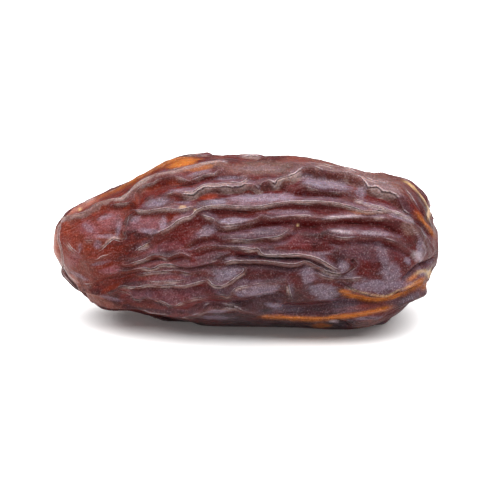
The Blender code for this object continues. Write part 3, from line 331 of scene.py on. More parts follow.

# Fine worn lines that run along the folds, with a painted highlight on the edge, painted shade in the core and
# further down, and wax with painted sheen above: how strong each is, and its path.
HAIRLINES = (
    (1, (1.1, 4.1, 2.2, 4.3, 3.3, 4.75, 4.5, 5, 5.5, 5.6, 6.5, 6.1, 7.3, 6.6, 8.2, 6.75, 9.2, 7, 10.2, 7,
        11, 7.5, 11.8, 8.2, 12.6, 8.9, 13.6, 9.6, 14.6, 10.1, 15.6, 10.6, 17, 10.8, 18.4, 11.1, 19.6, 11.6,
        21.5, 12, 23.5, 12.6, 26.5, 13.1)),
    (0.8, (7.5, 6.3, 8.5, 6.1, 9.5, 6.2, 10.5, 6.3, 11.5, 6.5, 12, 6.9, 12.2, 7.6, 12.6, 8.4, 13.2, 8.9,
        14, 9.2, 15, 9.4, 15.8, 9.9, 16.5, 10.1, 17.6, 10.3, 18.6, 10.2, 19.5, 9.9, 20.5, 9.6)),
    (0.7, (10.2, 7, 11, 7.5, 11.7, 8, 12.1, 8.6, 12.8, 9.2, 13.8, 9.8, 14.8, 10.3, 15.8, 10.7)),
    (1, (1.35, 4.1, 0.9, 2.8, 0.7, 1.3, 0.95, 0, 1.27, -1.35, 1.35, -2.4, 1.43, -3.6, 1.8, -4.9,
        2.3, -5.7)),
    (0.9, (11.5, 5.1, 12.2, 5.3, 13, 5.2, 14.2, 5.2, 15.5, 5.4, 17.3, 5.5, 18, 5.4, 19, 5.4, 20, 5.6,
        21, 5.8, 21.8, 5.9)),
    (0.5, (14.2, 5.5, 15.3, 5.6, 16.2, 5.8, 17.2, 6, 18.2, 6.2, 19.2, 6.1)),
    (0.8, (11.5, 5.1, 11.2, 4.6, 11, 3.9, 10.8, 3.2, 10.5, 2.5, 10.6, 1.8, 10.7, 1.2, 10.2, 0.9, 9.6, 0.95,
        8.9, 1.1, 8.4, 0.8, 7.9, 0.4, 7.3, -0.2, 6.6, -0.7)),
    (0.5, (4, 1.1, 5.2, 1.15, 6.4, 1.1, 7.6, 0.95, 9, 1.1)),
    (0.6, (4, 0.7, 4.6, 0.7, 5.4, 0.7, 6.2, 0.6)),
    (0.7, (1.9, 0.6, 2.4, -0.1, 2.9, -0.6, 3.5, -1.1)),
    (0.6, (4, 0.7, 3.9, 0.1, 3.8, -0.5, 3.6, -1.1)),
    (0.4, (1.2, 0.4, 1.7, -0.1, 2.2, -0.6)),
    (1, (15.5, 1.8, 16.5, 2.3, 17.3, 2.7, 18, 3.2, 18.7, 3.8, 19.5, 4.1, 20.8, 4.5, 21.3, 5.1, 22.2, 5.6,
        23.5, 5.9, 25.5, 6, 27.5, 5.9, 29.5, 5.8, 31.5, 5.95, 33.5, 6.3, 35.5, 6.6, 38, 6.6, 41, 6.5,
        42.5, 6.3, 44, 6, 45, 5.7, 46.2, 5.3, 47.2, 5.1, 48.5, 5.2, 50, 5.3, 51.2, 5.1, 52.5, 4.6,
        53.5, 4.2, 54.4, 3.6)),
    (0.5, (13.5, 1.4, 14.5, 1.7, 15.5, 1.9)),
    (0.8, (21.6, 4.7, 23, 4.3, 23.8, 4, 24.5, 3.5, 25.2, 3.2, 26.2, 3.15, 27.5, 3.3, 28.8, 3.5, 29.8, 3.8,
        30.6, 4.1, 31.2, 4.5, 32, 4.3, 33, 4.1, 34, 4.3, 35, 4.4, 36.5, 4.5, 38, 4.5, 40, 4.1, 42, 4.25,
        43.5, 4.35, 45, 4.4, 46.5, 4.3, 48, 4.2, 50, 4.1, 51.5, 3.9)),
    (0.7, (23, 4, 24, 3.3, 24.8, 2.9, 25.6, 2.7, 26.6, 2.75, 28, 3, 29.2, 3.2, 30.4, 3.5)),
    (0.7, (19.5, 0, 20.6, 0.6, 21.3, 1.1, 22.2, 1.45, 23, 1.35, 23.9, 1.4)),
    (0.8, (25, 0.7, 26, 0.9, 27.5, 0.9, 29, 0.8, 30.5, 0.9, 31.5, 1.1, 33, 1.2, 34.2, 1.5, 35, 2, 35.8, 2.6,
        36.4, 3.1)),
    (0.6, (41, 1.7, 42, 1.4, 43, 1.2, 45, 1.2, 46.5, 1.3, 48, 1.2, 49.5, 1.1, 51, 0.7, 52.3, 0.1,
        53.2, -0.6)),
    (0.7, (21, -0.9, 21.7, -0.4, 22.5, -0.1, 23.5, -0.05, 24.5, -0.1, 27, -0.2, 30, -0.4)),
    (0.9, (28, -0.7, 29.5, -0.6, 30.8, -0.6, 31, -1, 31.5, -1.3, 33, -1.4, 35, -1.4, 37, -1.35, 38, -1.5,
        39, -1.7, 40, -2.1, 41, -2.7, 42, -3.3, 43, -3.7)),
    (0.9, (25.3, -2.6, 26, -2.5, 26.8, -2.3, 28, -2.3, 31, -2.3, 32.5, -2.4, 34, -2.6, 35.5, -2.75,
        36.7, -2.7, 37.5, -2.4, 38.3, -2.45, 39, -2.8, 40, -3.3, 41, -3.8, 42, -4.1, 43, -4.2, 43.8, -4)),
    (0.5, (43.6, -1.8, 44.4, -1.9, 45.2, -2.2, 45.6, -2.7, 45.2, -3.2, 44.6, -3.6, 43.8, -4.1)),
    (0.5, (39, -3.7, 40, -4.3, 41, -4.7, 42, -4.9, 44.5, -4.95, 47, -4.8)),
    (0.8, (24.5, -7.4, 25.5, -7.4, 26.1, -7.5, 26.8, -6.9, 27.6, -6.3, 28.8, -6, 30, -5.85, 31, -5.7,
        32.5, -5.65, 33.5, -5.5, 34.2, -5.2, 34.8, -5.15, 35.1, -5.6, 35.3, -6.4, 35.5, -7.2, 35.8, -7.9)),
    (0.6, (24, -8.7, 25.5, -8.9, 27, -8.9, 28, -8.7, 28.8, -8.3)),
    (0.9, (9.2, -6.5, 10, -6.1, 11, -6.1, 12, -6.2, 13, -6.1, 14, -5.85, 16, -5.95, 18, -5.9, 19, -6.05,
        20, -5.9, 21, -5.7, 22, -5.4, 23, -5.2)),
    (0.8, (13.8, -5.3, 16, -5.4, 18.2, -5.3, 20, -5.1)),
    (0.9, (22.5, -4.8, 23.2, -5.2, 23.8, -5.8, 24.8, -6.1, 25.8, -5.8, 26.8, -5.2, 27.6, -4.6, 28.5, -3.9,
        28.7, -3.4, 28.1, -3)),
    (0.8, (7.3, -4.7, 8.4, -4.3, 9.3, -4.1, 10, -3.8, 11, -3.8, 12, -3.6, 13, -3.4, 15, -3.4, 16, -2.9,
        17, -2.8, 18, -2.9, 20, -3.3, 21, -3.2, 22, -3, 23, -2.8, 24, -2.5, 24.7, -2.2)),
    (0.7, (12, -4.4, 14, -4.1, 16, -3.9, 19, -3.8, 20, -4.1, 21, -4, 21.6, -3.8, 22.5, -3.75, 24.3, -3.6)),
    (0.7, (9.2, -6.9, 10, -6.6, 10.8, -6.7, 11.5, -7.2, 12, -7.8, 12.8, -8, 14, -8, 15.5, -8.1, 16.6, -8.5,
        17.4, -8.9, 18.2, -9, 19, -8.6, 20, -8.2, 21, -7.9, 22, -7.8, 22.8, -8, 23, -8.8)),
    (0.6, (3.5, -6.7, 4.5, -7.1, 5.5, -7.3, 6.5, -7.6, 7.5, -8)),
    (0.6, (8, -9.4, 10, -9.7, 14, -9.8, 15.5, -10.1, 17, -10.4, 18, -10.9, 19, -11.1, 20, -11, 21, -10.8,
        22, -10.3, 23, -9.4, 25, -9.4, 27, -9.6, 28.3, -9.9, 30, -10, 31.2, -10.4, 32.2, -11)),
    (0.7, (4.1, -2.9, 4.6, -2.4, 5.3, -2.1, 6.6, -2.1, 7.1, -1.7, 7.8, -1.5, 8.6, -1.3)),
    (0.9, (12.2, -0.9, 12.8, -0.4, 13.5, -0.05, 14, 0.2, 14.8, 0.5)),
    (0.5, (12.4, -0.9, 13.2, -0.7, 14, -0.5, 14.8, -0.1, 15.6, 0.4)),
    (0.5, (10, -2.2, 11, -2, 12, -1.6, 13, -1.1, 14, -0.7)),
    (0.8, (10, -2.9, 11, -2.9, 12, -2.6, 13, -2.3, 14, -1.9, 14.8, -1.5, 16, -1.5, 17, -1.8, 18, -1.5,
        19, -1.2, 20, -1.5, 20.8, -1.8)),
    (0.7, (15, 7.2, 16.5, 7.2, 17.3, 7.7, 18.2, 7.9, 20, 8, 21, 8.1, 21.6, 8.5, 22.4, 9, 23.2, 9.2,
        24.2, 9.1, 25.2, 9.3, 26.2, 9.5, 28.6, 9.6, 29.2, 10.1, 29.9, 10.4)),
    (0.8, (18.8, 7.85, 19.8, 7.7, 21, 7.75, 21.8, 8.3, 22.8, 8.75, 24, 8.8, 26, 8.8, 28, 8.95, 29.2, 9.2,
        30, 9, 30.8, 8.8, 31.4, 9.3, 32.4, 9.6, 33.2, 9.4, 34, 9.9, 35, 10.3, 36, 10.7, 36.8, 11.2,
        37.8, 11.6, 39, 11.7)),
    (0.6, (13.6, 6, 14.1, 6.5, 14.5, 6.9, 15.2, 7.1)),
    (0.6, (20, 10.1, 20.8, 10.6, 21.6, 10.9, 22.8, 11.2, 23.5, 11.4)),
    (0.6, (20.5, 9.7, 22, 10.3, 23.2, 10.7, 24, 10.7, 24.7, 11.2, 25.5, 11.5)),
    (0.6, (27, 11.5, 28, 11.2, 29, 11.1, 31, 11.3, 34, 11.2)),
    (0.7, (34, 12.1, 35, 12.3, 36.5, 12.2, 38, 12.1, 40, 12, 42, 11.6, 44, 11.3, 45.5, 10.8, 47, 10.1,
        48.5, 9.7, 50, 9.4, 51.5, 9.1)),
    (0.8, (37, 11.3, 38, 11.6, 39, 11.6, 40, 11.3, 41, 11.1, 42.5, 10.9, 44, 10.7, 45, 10.4, 46, 10,
        46.8, 9.3, 47.4, 8.9, 48.5, 8.7, 49.5, 8.2, 50.5, 7.9, 51.2, 7.6, 52, 6.8, 52.8, 6, 53.5, 5.4,
        54, 5)),
    (0.6, (37, 8.7, 38, 8.7, 39, 8.4, 40, 8.1, 41.5, 8, 43, 7.9, 44, 8, 44.8, 7.8, 45.1, 7.3)),
    (0.8, (45.1, 7.6, 45.5, 6.8, 46.4, 6.6, 47.2, 6.2, 48.2, 6, 49.5, 5.7, 50.2, 5.4, 51.5, 5, 52.8, 4.5,
        53.6, 4.1, 54.4, 3.6)),
    (0.8, (54.6, 3, 55.2, 2.2, 55.8, 1.2, 56.1, 0.3, 56.4, -0.6, 56.9, -1.2)),
    (0.6, (54.3, -0.3, 54, -1.3, 54.6, -2.2, 55, -3)),
    (0.6, (51.6, 9.4, 52.6, 8.8, 53.4, 8, 54.2, 7, 54.8, 6)),
    (0.5, (50.4, 9.9, 51.6, 9.6, 52.6, 9.2, 53.6, 8.4, 54.6, 7.4, 55.4, 6.4)),
    (0.5, (25.4, -9.45, 26.6, -9.5, 27.6, -9.3)),
    (0.5, (32.6, -8.5, 33.4, -8.7, 34.6, -9.3)),
    (0.5, (2.2, -4.8, 3, -5.4, 4, -5.8, 5.2, -6, 6.4, -6)),
)

# Sharp creases, sunk in the bump and darkened with painted shade: how deep each is, and its path.
CREASES = (
    (1, (42.6, -5.2, 43.1, -5.7, 44.5, -6.4, 46.5, -7.2, 48.4, -7.6, 50.3, -7.7, 51.2, -7.05, 52.7, -6.5,
        54, -5.85, 55, -5.3)),
    (0.9, (43, -8.1, 44.1, -8.1, 46, -8.15, 48, -8.4, 50.3, -8, 53.1, -7.35, 54.6, -6.6)),
    (0.9, (32.5, -10, 34.4, -10.1, 36.2, -10, 38, -10, 40, -10.05, 42.8, -10, 43.7, -9.6, 44.6, -9.4)),
    (1, (30, -10.9, 32.5, -11.1, 37.1, -11.3, 40.5, -11.3, 42.8, -11.7, 44.7, -12.4)),
    (0.7, (44.4, -11.4, 45.8, -10.9, 47.5, -10.9, 49.5, -10.6, 51.5, -9.9, 53.2, -9)),
    (0.8, (29.5, -1.1, 32, -1.8, 34.5, -1.9, 37, -1.85, 38.6, -2.1, 40.2, -2.8, 41.6, -3.6)),
    (0.7, (43.2, 3.3, 45, 3.3, 47, 3.2, 49, 3.1, 50.6, 2.6, 51.6, 1.8)),
    (0.7, (23, 5.2, 25, 5.3, 27.5, 5.1, 29.5, 4.8, 31.5, 4.9)),
    (0.6, (14.5, 8.1, 17, 8.6, 19, 8.9, 21, 9.2, 22.5, 9.8)),
    (0.7, (52.6, 3.4, 53.6, 3, 54.2, 2.2, 54.4, 1, 54, -0.4)),
    (0.8, (53.4, 6.2, 54.2, 5.2, 54.6, 4.2, 55.4, 3.2, 56.2, 2.2)),
)

# The strokes of each tint, as the other fields of Stroke.
STROKES = {
    Tint.AMBER: (
        (1, 0.3, 0.35, (43.3, -7.2, 44.4, -7.35, 45.6, -7.6, 48.4, -7.95, 51.2, -7.5, 53.1, -6.7, 55, -5.75,
            55.9, -5.2)),
        (0.9, 0.35, 0.35, (42.9, -6.6, 44, -6.9, 45, -7.3)),
        (1, 0.25, 0.4, (30.8, -10.5, 32.5, -10.5, 36.2, -10.75, 40, -10.8, 42.8, -10.5, 45.6, -10.2,
            48.4, -9.6, 51.2, -8.85)),
        (0.9, 0.4, 0.4, (52.6, -6.6, 54, -5.9, 55.2, -5.2, 56.2, -4.6)),
        (0.75, 0.9, 0.55, (6.2, 7.3, 8, 8.2, 10, 9.1, 12, 10.1, 14, 11.3, 16, 12.3, 18, 13, 20, 13.4,
            22, 13.6)),
        (0.9, 0.3, 0.3, (54.3, 5.2, 55.2, 4.1, 56, 3.1, 56.8, 2, 57.2, 1.2)),
        (0.7, 0.4, 0.4, (55, -6.6, 55.9, -5.9, 56.6, -5.3)),
        (0.8, 0.4, 0.3, (52.9, -5.4, 53.8, -4.8, 54.6, -4.3)),
    ),
    Tint.EMBER: (
        (0.9, 0.3, 0.3, (43.4, -9.1, 45.5, -9, 48, -8.9, 50.6, -8.4)),
        (0.9, 0.16, 0.16, (26.5, 8.1, 28.5, 8.2, 30, 8, 31.5, 8.1)),
    ),
    # Painted shade under the lowest folds.
    Tint.PAINTED_UNDERSIDE_SHADE: (
        (0.9, 0.3, 0.45, (30, -9.6, 34, -9.5, 38.1, -9.4, 41.5, -9.2, 44, -8.8, 46, -8.55)),
        (1, 0.3, 0.9, (29.5, -11.4, 32.5, -11.8, 36, -12, 38.6, -12.2)),
    ),
    # A pale edge on the orange fold, and painted highlights on the rim at the stalk end.
    Tint.CREAM: (
        (0.45, 0.14, 0.14, (44, -6.1, 46.3, -6.95, 48.4, -7.35, 50.3, -7.4, 51.4, -6.8, 53, -6.15,
            54.6, -5.2)),
        (0.9, 0.2, 0.15, (52.3, 9.9, 53.4, 9.4, 54.4, 8.5, 55.3, 7.4, 56.2, 6, 56.4, 4.6, 56.4, 3.8)),
        (0.6, 0.25, 0.25, (54.2, -4.2, 55, -3.8, 55.8, -3.7, 56.5, -4.2)),
    ),
    # Painted highlights on the folds.
    Tint.PAINTED_HIGHLIGHT: (
        (0.7, 0.15, 0.15, (41.4, -11.2, 42.2, -11.2, 42.9, -11.3)),
        (0.5, 0.25, 0.2, (50.5, 5.3, 52, 4.8, 53.2, 4.1, 54.2, 3.5)),
        (0.5, 0.12, 0.12, (53.6, 3.2, 54.6, 1.8, 55.6, 0.2, 55.9, -0.9, 55.2, -2.2)),
        (0.8, 0.22, 0.15, (40.4, 4.1, 41.6, 4.25, 43.2, 4.35, 45, 4.4, 46.6, 4.3)),
        (0.7, 0.3, 0.25, (41.6, 2.3, 42.6, 2.2, 43.8, 2.05, 45.4, 1.9)),
        (0.4, 0.2, 0.2, (45.4, 1.9, 47.5, 1.9, 49.5, 1.7)),
    ),
    # Lavender wax with painted sheen along the lowest orange fold.
    Tint.BLOOM: (
        (0.9, 0.3, 0.3, (51.5, -8.2, 53.1, -7.9, 54.5, -7.2, 55.3, -6.6)),
    ),
    Tint.ROSE: (
        (0.9, 0.9, 0.5, (1.2, 4.6, 2.5, 5.1, 4, 5.9, 5.5, 6.6, 7, 7.3)),
        (0.3, 0.6, 0.5, (23.5, 13.6, 26, 13.3)),
        (0.25, 0.7, 0.6, (34, 12.9, 37, 13, 40, 12.7, 42.5, 12.2)),
        (0.9, 0.6, 0.6, (0.25, 3, 0.15, 1.5, 0.2, 0, 0.35, -1.5, 0.7, -3)),
    ),
    # Painted deep red shade in the valley under the brow.
    Tint.PAINTED_SHADE: (
        (0.95, 0.6, 0.5, (46.2, 8.3, 48.7, 7.7, 51.2, 6.7, 53, 5.4, 53.8, 4.7)),
    ),
}

# The patches of each tint, as the other fields of Patch.
PATCHES = {
    # Lavender wax with painted sheen, mostly on what faces the sky.
    Tint.BLOOM: (
        (0.8, 15.4, 6.5, 2, 0.65, 12), (0.6, 19.6, 6.5, 1.3, 0.25), (0.6, 19.8, 8.35, 2.3, 0.3, 3),
        (0.7, 16.4, 3.4, 0.5, 0.9), (0.7, 14.4, 2.2, 1.5, 0.4, -4), (0.9, 24.6, 6.65, 1.3, 0.33),
        (0.9, 31.5, 7.2, 5.5, 0.6, 1), (1, 27, 3.85, 2.3, 0.42, 2), (0.7, 23, 2.2, 1.6, 0.7, 20),
        (0.45, 31, 1.7, 4.6, 0.6, 4), (0.9, 40.8, 9.2, 3.6, 0.8, -8), (0.6, 37.8, 10.4, 1.6, 0.5, -5),
        (0.8, 46.2, 8.1, 0.8, 0.9, -50), (1, 47.8, 6.05, 2.4, 0.32, -16), (0.9, 52, 4.4, 2.3, 0.4, -20),
        (0.6, 48.3, 1.9, 3.4, 0.45, -6), (0.8, 26, -4.3, 2.1, 0.9, 20), (0.8, 30.6, -6.6, 3.4, 0.8, 8),
        (0.8, 33.4, -8.9, 1.3, 0.45, -15), (0.7, 38.2, -4.4, 1.1, 1.5, 10),
        (0.7, 40.6, -6.8, 2.1, 1.2, -15), (0.7, 43.6, -3, 0.9, 0.8), (0.6, 49.4, -1.2, 0.9, 1.9, 20),
        (0.7, 50.8, -4, 1.5, 1.5, 20), (0.8, 53.2, -2.2, 0.4, 0.7, 30), (0.75, 48.8, -5.9, 4.8, 0.9, 2),
        (0.2, 47, -0.9, 4.5, 1.6, -4), (0.7, 24.6, -9.7, 1.5, 0.3), (0.5, 24.4, -10.7, 2.2, 0.35),
        (0.5, 8.6, -7.8, 1.6, 0.3, -12), (0.45, 5.2, 2.7, 1.1, 0.45, -35), (0.5, 7.6, 4.3, 1.3, 0.35, 15),
        (0.5, 6.6, 0.2, 0.5, 0.8, -20), (0.4, 3.9, -0.2, 0.3, 0.7), (0.6, 9.6, 2.5, 0.35, 1.3, -8),
        (0.5, 12.3, 4, 0.9, 0.5, 30), (0.45, 3.6, -4.4, 1.4, 0.35, -25), (0.45, 6.8, -2.6, 1.2, 0.3, 10),
        (0.5, 7.6, 1.5, 1.6, 0.35), (0.6, 22, 11, 1.8, 0.3, 14), (0.7, 26.2, 10.1, 2.2, 0.3, 4),
        (0.6, 35, 5.1, 3.5, 0.35), (0.5, 49, 9.3, 3, 0.6, -22), (0.4, 31, 11.6, 3.5, 0.4),
        (0.7, 55, -0.6, 0.6, 1.6), (0.7, 47, -10.75, 2, 0.3, 4),
    ),
    # Thinner wax that the red skin comes through.
    Tint.MAUVE: (
        (0.65, 14, 3.2, 2.9, 1.2, 4), (0.3, 36.5, 0.7, 3.5, 0.7, -4), (0.5, 5.6, 2.4, 1.8, 1.3, -30),
        (0.5, 8.4, 3.6, 1.8, 1.2, 20), (0.4, 3, -1.9, 0.9, 1.3, -30), (0.6, 8.4, -3.6, 1.6, 0.5, 8),
        (0.3, 18, -7, 4, 0.9, 2), (0.5, 12.5, -7.2, 2, 0.7, 4), (0.4, 16, -0.3, 3.5, 0.7, 10),
    ),
    # Painted highlight, nearly white.
    Tint.PAINTED_HIGHLIGHT: (
        (0.45, 54.6, -1.5, 1, 0.7, -40),
    ),
    # Worn, greyish brown skin.
    Tint.CREST: (
        (0.6, 53.3, 2.6, 1.4, 1, -40), (0.45, 31, 11.7, 6.5, 1.1), (0.45, 44, 11.2, 5, 0.8, -14),
        (0.5, 49.5, 9.6, 4, 1.4, -24),
    ),
    # Painted deep red shade.
    Tint.PAINTED_SHADE: (
        (0.6, 13.4, 4.3, 2, 0.35, 4), (0.8, 54.1, -3, 0.7, 0.4, 40), (0.7, 52, -2.6, 0.5, 1.4, 15),
        (0.7, 4, 3.6, 1, 0.5, 30), (0.7, 9.4, 4.9, 1.3, 0.4, 20), (0.7, 7.6, -0.6, 1.6, 0.5, 25),
        (0.6, 5.6, -4.6, 1.5, 0.5, 30),
    ),
    # Thin skin that the light comes through.
    Tint.EMBER: (
        (1, 1.9, 2.7, 0.9, 1.4), (0.6, 5, -0.5, 5.5, 6.5), (0.9, 6.6, 5.3, 1.9, 0.55, 22),
        (0.9, 11, 5.6, 0.9, 0.5, 40), (0.9, 12.4, 6.8, 0.4, 1), (1, 14.4, 8.6, 1.7, 0.45, 8),
        (0.9, 18.4, 9.5, 1.6, 0.5), (1, 23.2, 7.4, 1.4, 0.45, 8), (0.5, 32.5, 5.2, 3.5, 0.35, 3),
        (0.6, 17.9, 4.3, 1.6, 0.5, 15), (0.9, 4.9, -0.3, 0.9, 0.8), (0.9, 8.6, -6.2, 1.9, 0.4, 25),
        (0.6, 4.4, -2.3, 1.2, 1.4), (0.7, 14.5, -2.6, 4.2, 0.3, 6), (0.7, 15.5, -4.7, 4.5, 0.35, 2),
        (0.7, 14, -8.9, 3.5, 0.35, -6), (0.7, 19, -10.2, 1.2, 0.3), (0.8, 54.6, 4.6, 0.9, 0.8),
    ),
    # Bared, pale skin at the ends.
    Tint.ROSE: (
        (0.1, 2.5, -1.5, 3.5, 5.5), (0.6, 47.2, -11.6, 2.6, 0.6, 6), (0.6, 2.6, -5.2, 1.4, 0.9, -45),
        (0.4, 6.5, -8, 3.6, 0.6, -25),
    ),
    # Bared, brownish orange skin.
    Tint.AMBER: (
        (0.5, 22, 11.7, 2, 0.4, 10), (1, 19.4, 12.4, 2.2, 0.55, 14), (0.4, 46.8, 5.1, 2.2, 0.35),
        (0.5, 40.4, -11.9, 1.5, 0.35),
    ),
    # Dry pale spots, and painted highlights on the rim at the stalk end.
    Tint.CREAM: (
        (0.7, 3.9, 5.4, 0.25, 0.25), (0.45, 19.4, 5.8, 0.5, 0.25), (0.45, 13.9, 0.15, 0.35, 0.15, 35),
        (0.5, 21.3, 5.4, 0.15, 0.15), (0.9, 36.7, 3.1, 0.18, 0.18), (0.7, 56.3, 4.6, 0.3, 0.6),
        (0.6, 56.5, -4.2, 0.4, 0.8),
    ),
    # Painted shade on the underside, dark and greenish grey like the shaded floor it reflects.
    Tint.PAINTED_UNDERSIDE_SHADE: (
        (1, 37.5, -11.6, 14, 0.9), (0.7, 26, -10.6, 6, 0.8), (0.5, 32, -8, 6, 1.6),
        (0.6, 53.5, -8.2, 2.4, 0.7, 30), (0.55, 40, -8, 5, 2.2), (0.35, 34, -5, 9, 3.2),
    ),
}


def smoothstep(low: float, high: float, value: np.ndarray) -> np.ndarray:
    """Rises smoothly from 0 at low to 1 at high.

    Args:
        low: Where the rise starts.
        high: Where it ends.
        value: The numbers to read it at.

    Returns:
        The height of the rise at each number.
    """
    t = np.clip((value - low) / (high - low), 0, 1)
    return t * t * (3 - 2 * t)


def at_least(least: float, share: np.ndarray) -> np.ndarray:
    """A share from 0 to 1, carried to the range from the least to 1."""
    return least + (1 - least) * share


def smooth_through(x: np.ndarray, xs: np.ndarray, ys: np.ndarray) -> np.ndarray:
    """A smooth curve through drawn points, made of cubic pieces.

    Args:
        x: Where the curve is read.
        xs: The drawn points' places, rising.
        ys: The drawn points' values.

    Returns:
        The curve's values at x.
    """
    slopes = np.gradient(ys, xs)
    i = np.clip(np.searchsorted(xs, x) - 1, 0, len(xs) - 2)
    step = xs[i + 1] - xs[i]
    t = np.clip((x - xs[i]) / step, 0, 1)
    return (
        (1 + 2 * t) * (1 - t) ** 2 * ys[i]
        + t * (1 - t) ** 2 * step * slopes[i]
        + t * t * (3 - 2 * t) * ys[i + 1]
        + t * t * (t - 1) * step * slopes[i + 1]
    )


def unit(vectors: np.ndarray) -> np.ndarray:
    """The vectors at length 1."""
    return vectors / np.maximum(np.linalg.norm(vectors, axis=-1, keepdims=True), SHORTEST_VECTOR)


def run_of(points: np.ndarray) -> np.ndarray:
    """How far along a line of points each point lies."""
    return np.concatenate([[0], np.cumsum(np.linalg.norm(np.diff(points, axis=0), axis=1))])


def sampled(path: Path, step: float) -> np.ndarray:
    """Lays a smooth curve through a drawn path.

    Args:
        path: The path.
        step: About how far apart its samples are.

    Returns:
        The samples, as (along, rise).
    """
    knots = np.array(path, float).reshape(-1, 2)
    run = run_of(knots)
    at = np.linspace(0, run[-1], max(FEWEST_SAMPLES, int(run[-1] / step)))
    return np.stack([smooth_through(at, run, column) for column in knots.T], axis=1)


def faded_ends(run: np.ndarray) -> np.ndarray:
    """How strongly a line shows at each of its points: fully, but less and less towards its two ends."""
    fade = min(END_FADE, END_FADE_SHARE * run[-1])
    return smoothstep(-END_START_SHARE * fade, fade, np.minimum(run, run[-1] - run))


def noise_at(points: np.ndarray, seed: int = 0) -> np.ndarray:
    """Smooth noise in -1 to 1 at each point."""
    shift = Vector((seed, seed, seed))
    return np.array([noise.noise(Vector(point) + shift) for point in points])


def ridged(values: np.ndarray) -> np.ndarray:
    """Noise turned into sharp ridges where it passes 0."""
    return 1 - 2 * np.abs(values)


@dataclass(frozen=True)
class FruitBody:
    """The bare, unwrinkled body of the fruit, in millimetres."""

    length: float = 57.4
    roll: float = math.radians(20)
    top_outline: Outline = TOP_OUTLINE
    bottom_outline: Outline = BOTTOM_OUTLINE
    depth_to_height: float = 1.02
    tip_bluntness: float = 3.0
    stalk_bluntness: float = 5.0
    scar_radius: float = 2.3
    scar_depth: float = 0.9
    scar_rim: float = 0.3
    scar_rim_share: float = 0.35
    scar_narrowing: float = 1.4
    probe: float = 0.01
    probe_turn: float = 0.001
    seen_from: float = 312.5
    view_middle: Span = (29.5, -0.6)
    view_shift: Span = (0.05, -0.26)
    view_scale: float = 1.008

    def envelope(self, share: np.ndarray) -> np.ndarray:
        """How far out a blunt-ended body reaches.

        Args:
            share: Shares of its length.

        Returns:
            Its reach at each, from 0 to 1.
        """
        centred = 2 * share - 1
        tip = 1 - np.clip(-centred, 0, 1) ** self.tip_bluntness
        stalk = 1 - np.clip(centred, 0, 1) ** self.stalk_bluntness
        return np.sqrt(np.clip(tip * stalk, 0, 1))

    def reach(self, along: np.ndarray, outline: Outline) -> np.ndarray:
        """How far the body reaches from its axis along one outline.

        Args:
            along: Places along the fruit.
            outline: The drawn outline, as (along, distance from the axis).

        Returns:
            The reach at each place.
        """
        xs, ys = (np.array(column, float) for column in zip(*outline))
        fullness = ys / self.envelope(xs / self.length)
        drawn = smooth_through(np.clip(along, xs[0], xs[-1]), xs, fullness)
        return drawn * self.envelope(along / self.length)

    def skin(self, along: np.ndarray, clock: np.ndarray) -> np.ndarray:
        """Points of the bare skin as (along, rise, depth).

        Args:
            along: Places along the fruit.
            clock: Angles round it, 0 towards the viewer and a quarter turn up.

        Returns:
            One row for each place.
        """
        top = self.reach(along, self.top_outline)
        bottom = self.reach(along, self.bottom_outline)
        side = self.depth_to_height * (top + bottom) / 2
        rise = np.where(np.sin(clock) > 0, top, bottom) * np.sin(clock)
        return np.stack([along, rise, side * np.cos(clock)], axis=-1)

    def outward(self, along: np.ndarray, clock: np.ndarray) -> np.ndarray:
        """Which way is straight out of the bare skin.

        Args:
            along: Places along the fruit.
            clock: Angles round it.

        Returns:
            A unit vector for each place.
        """
        along = np.clip(along, self.probe, self.length - self.probe)
        turn = self.probe_turn
        lengthwise = self.skin(along + self.probe, clock) - self.skin(along - self.probe, clock)
        around = self.skin(along, clock + turn) - self.skin(along, clock - turn)
        return unit(np.cross(lengthwise, around))

    def scar(self, along: np.ndarray, from_axis: np.ndarray) -> np.ndarray:
        """The height of the rimmed dimple where the stalk came away.

        Args:
            along: Places along the fruit.
            from_axis: How far each lies from its axis.

        Returns:
            The height at each place.
        """
        rim_width = self.scar_rim_share * self.scar_radius
        rim = self.scar_rim * np.exp(-(((from_axis - self.scar_radius) / rim_width) ** 2))
        dimple = self.scar_depth * np.exp(-((self.scar_narrowing * from_axis / self.scar_radius) ** 4))
        return np.where(along > self.length / 2, rim - dimple, 0)

    def seen(self, skin: np.ndarray) -> np.ndarray:
        """Where each point of the skin is seen in the drawing, as (along, rise)."""
        seen = (skin[:, :2] - self.view_middle) * self.view_scale / (1 - skin[:, 2:] / self.seen_from)
        return seen + self.view_middle + self.view_shift

    def height(self, skin: np.ndarray) -> np.ndarray:
        """How high each point of the skin lies once the fruit is rolled back."""
        return skin[:, 1] * math.cos(self.roll) + skin[:, 2] * math.sin(self.roll)


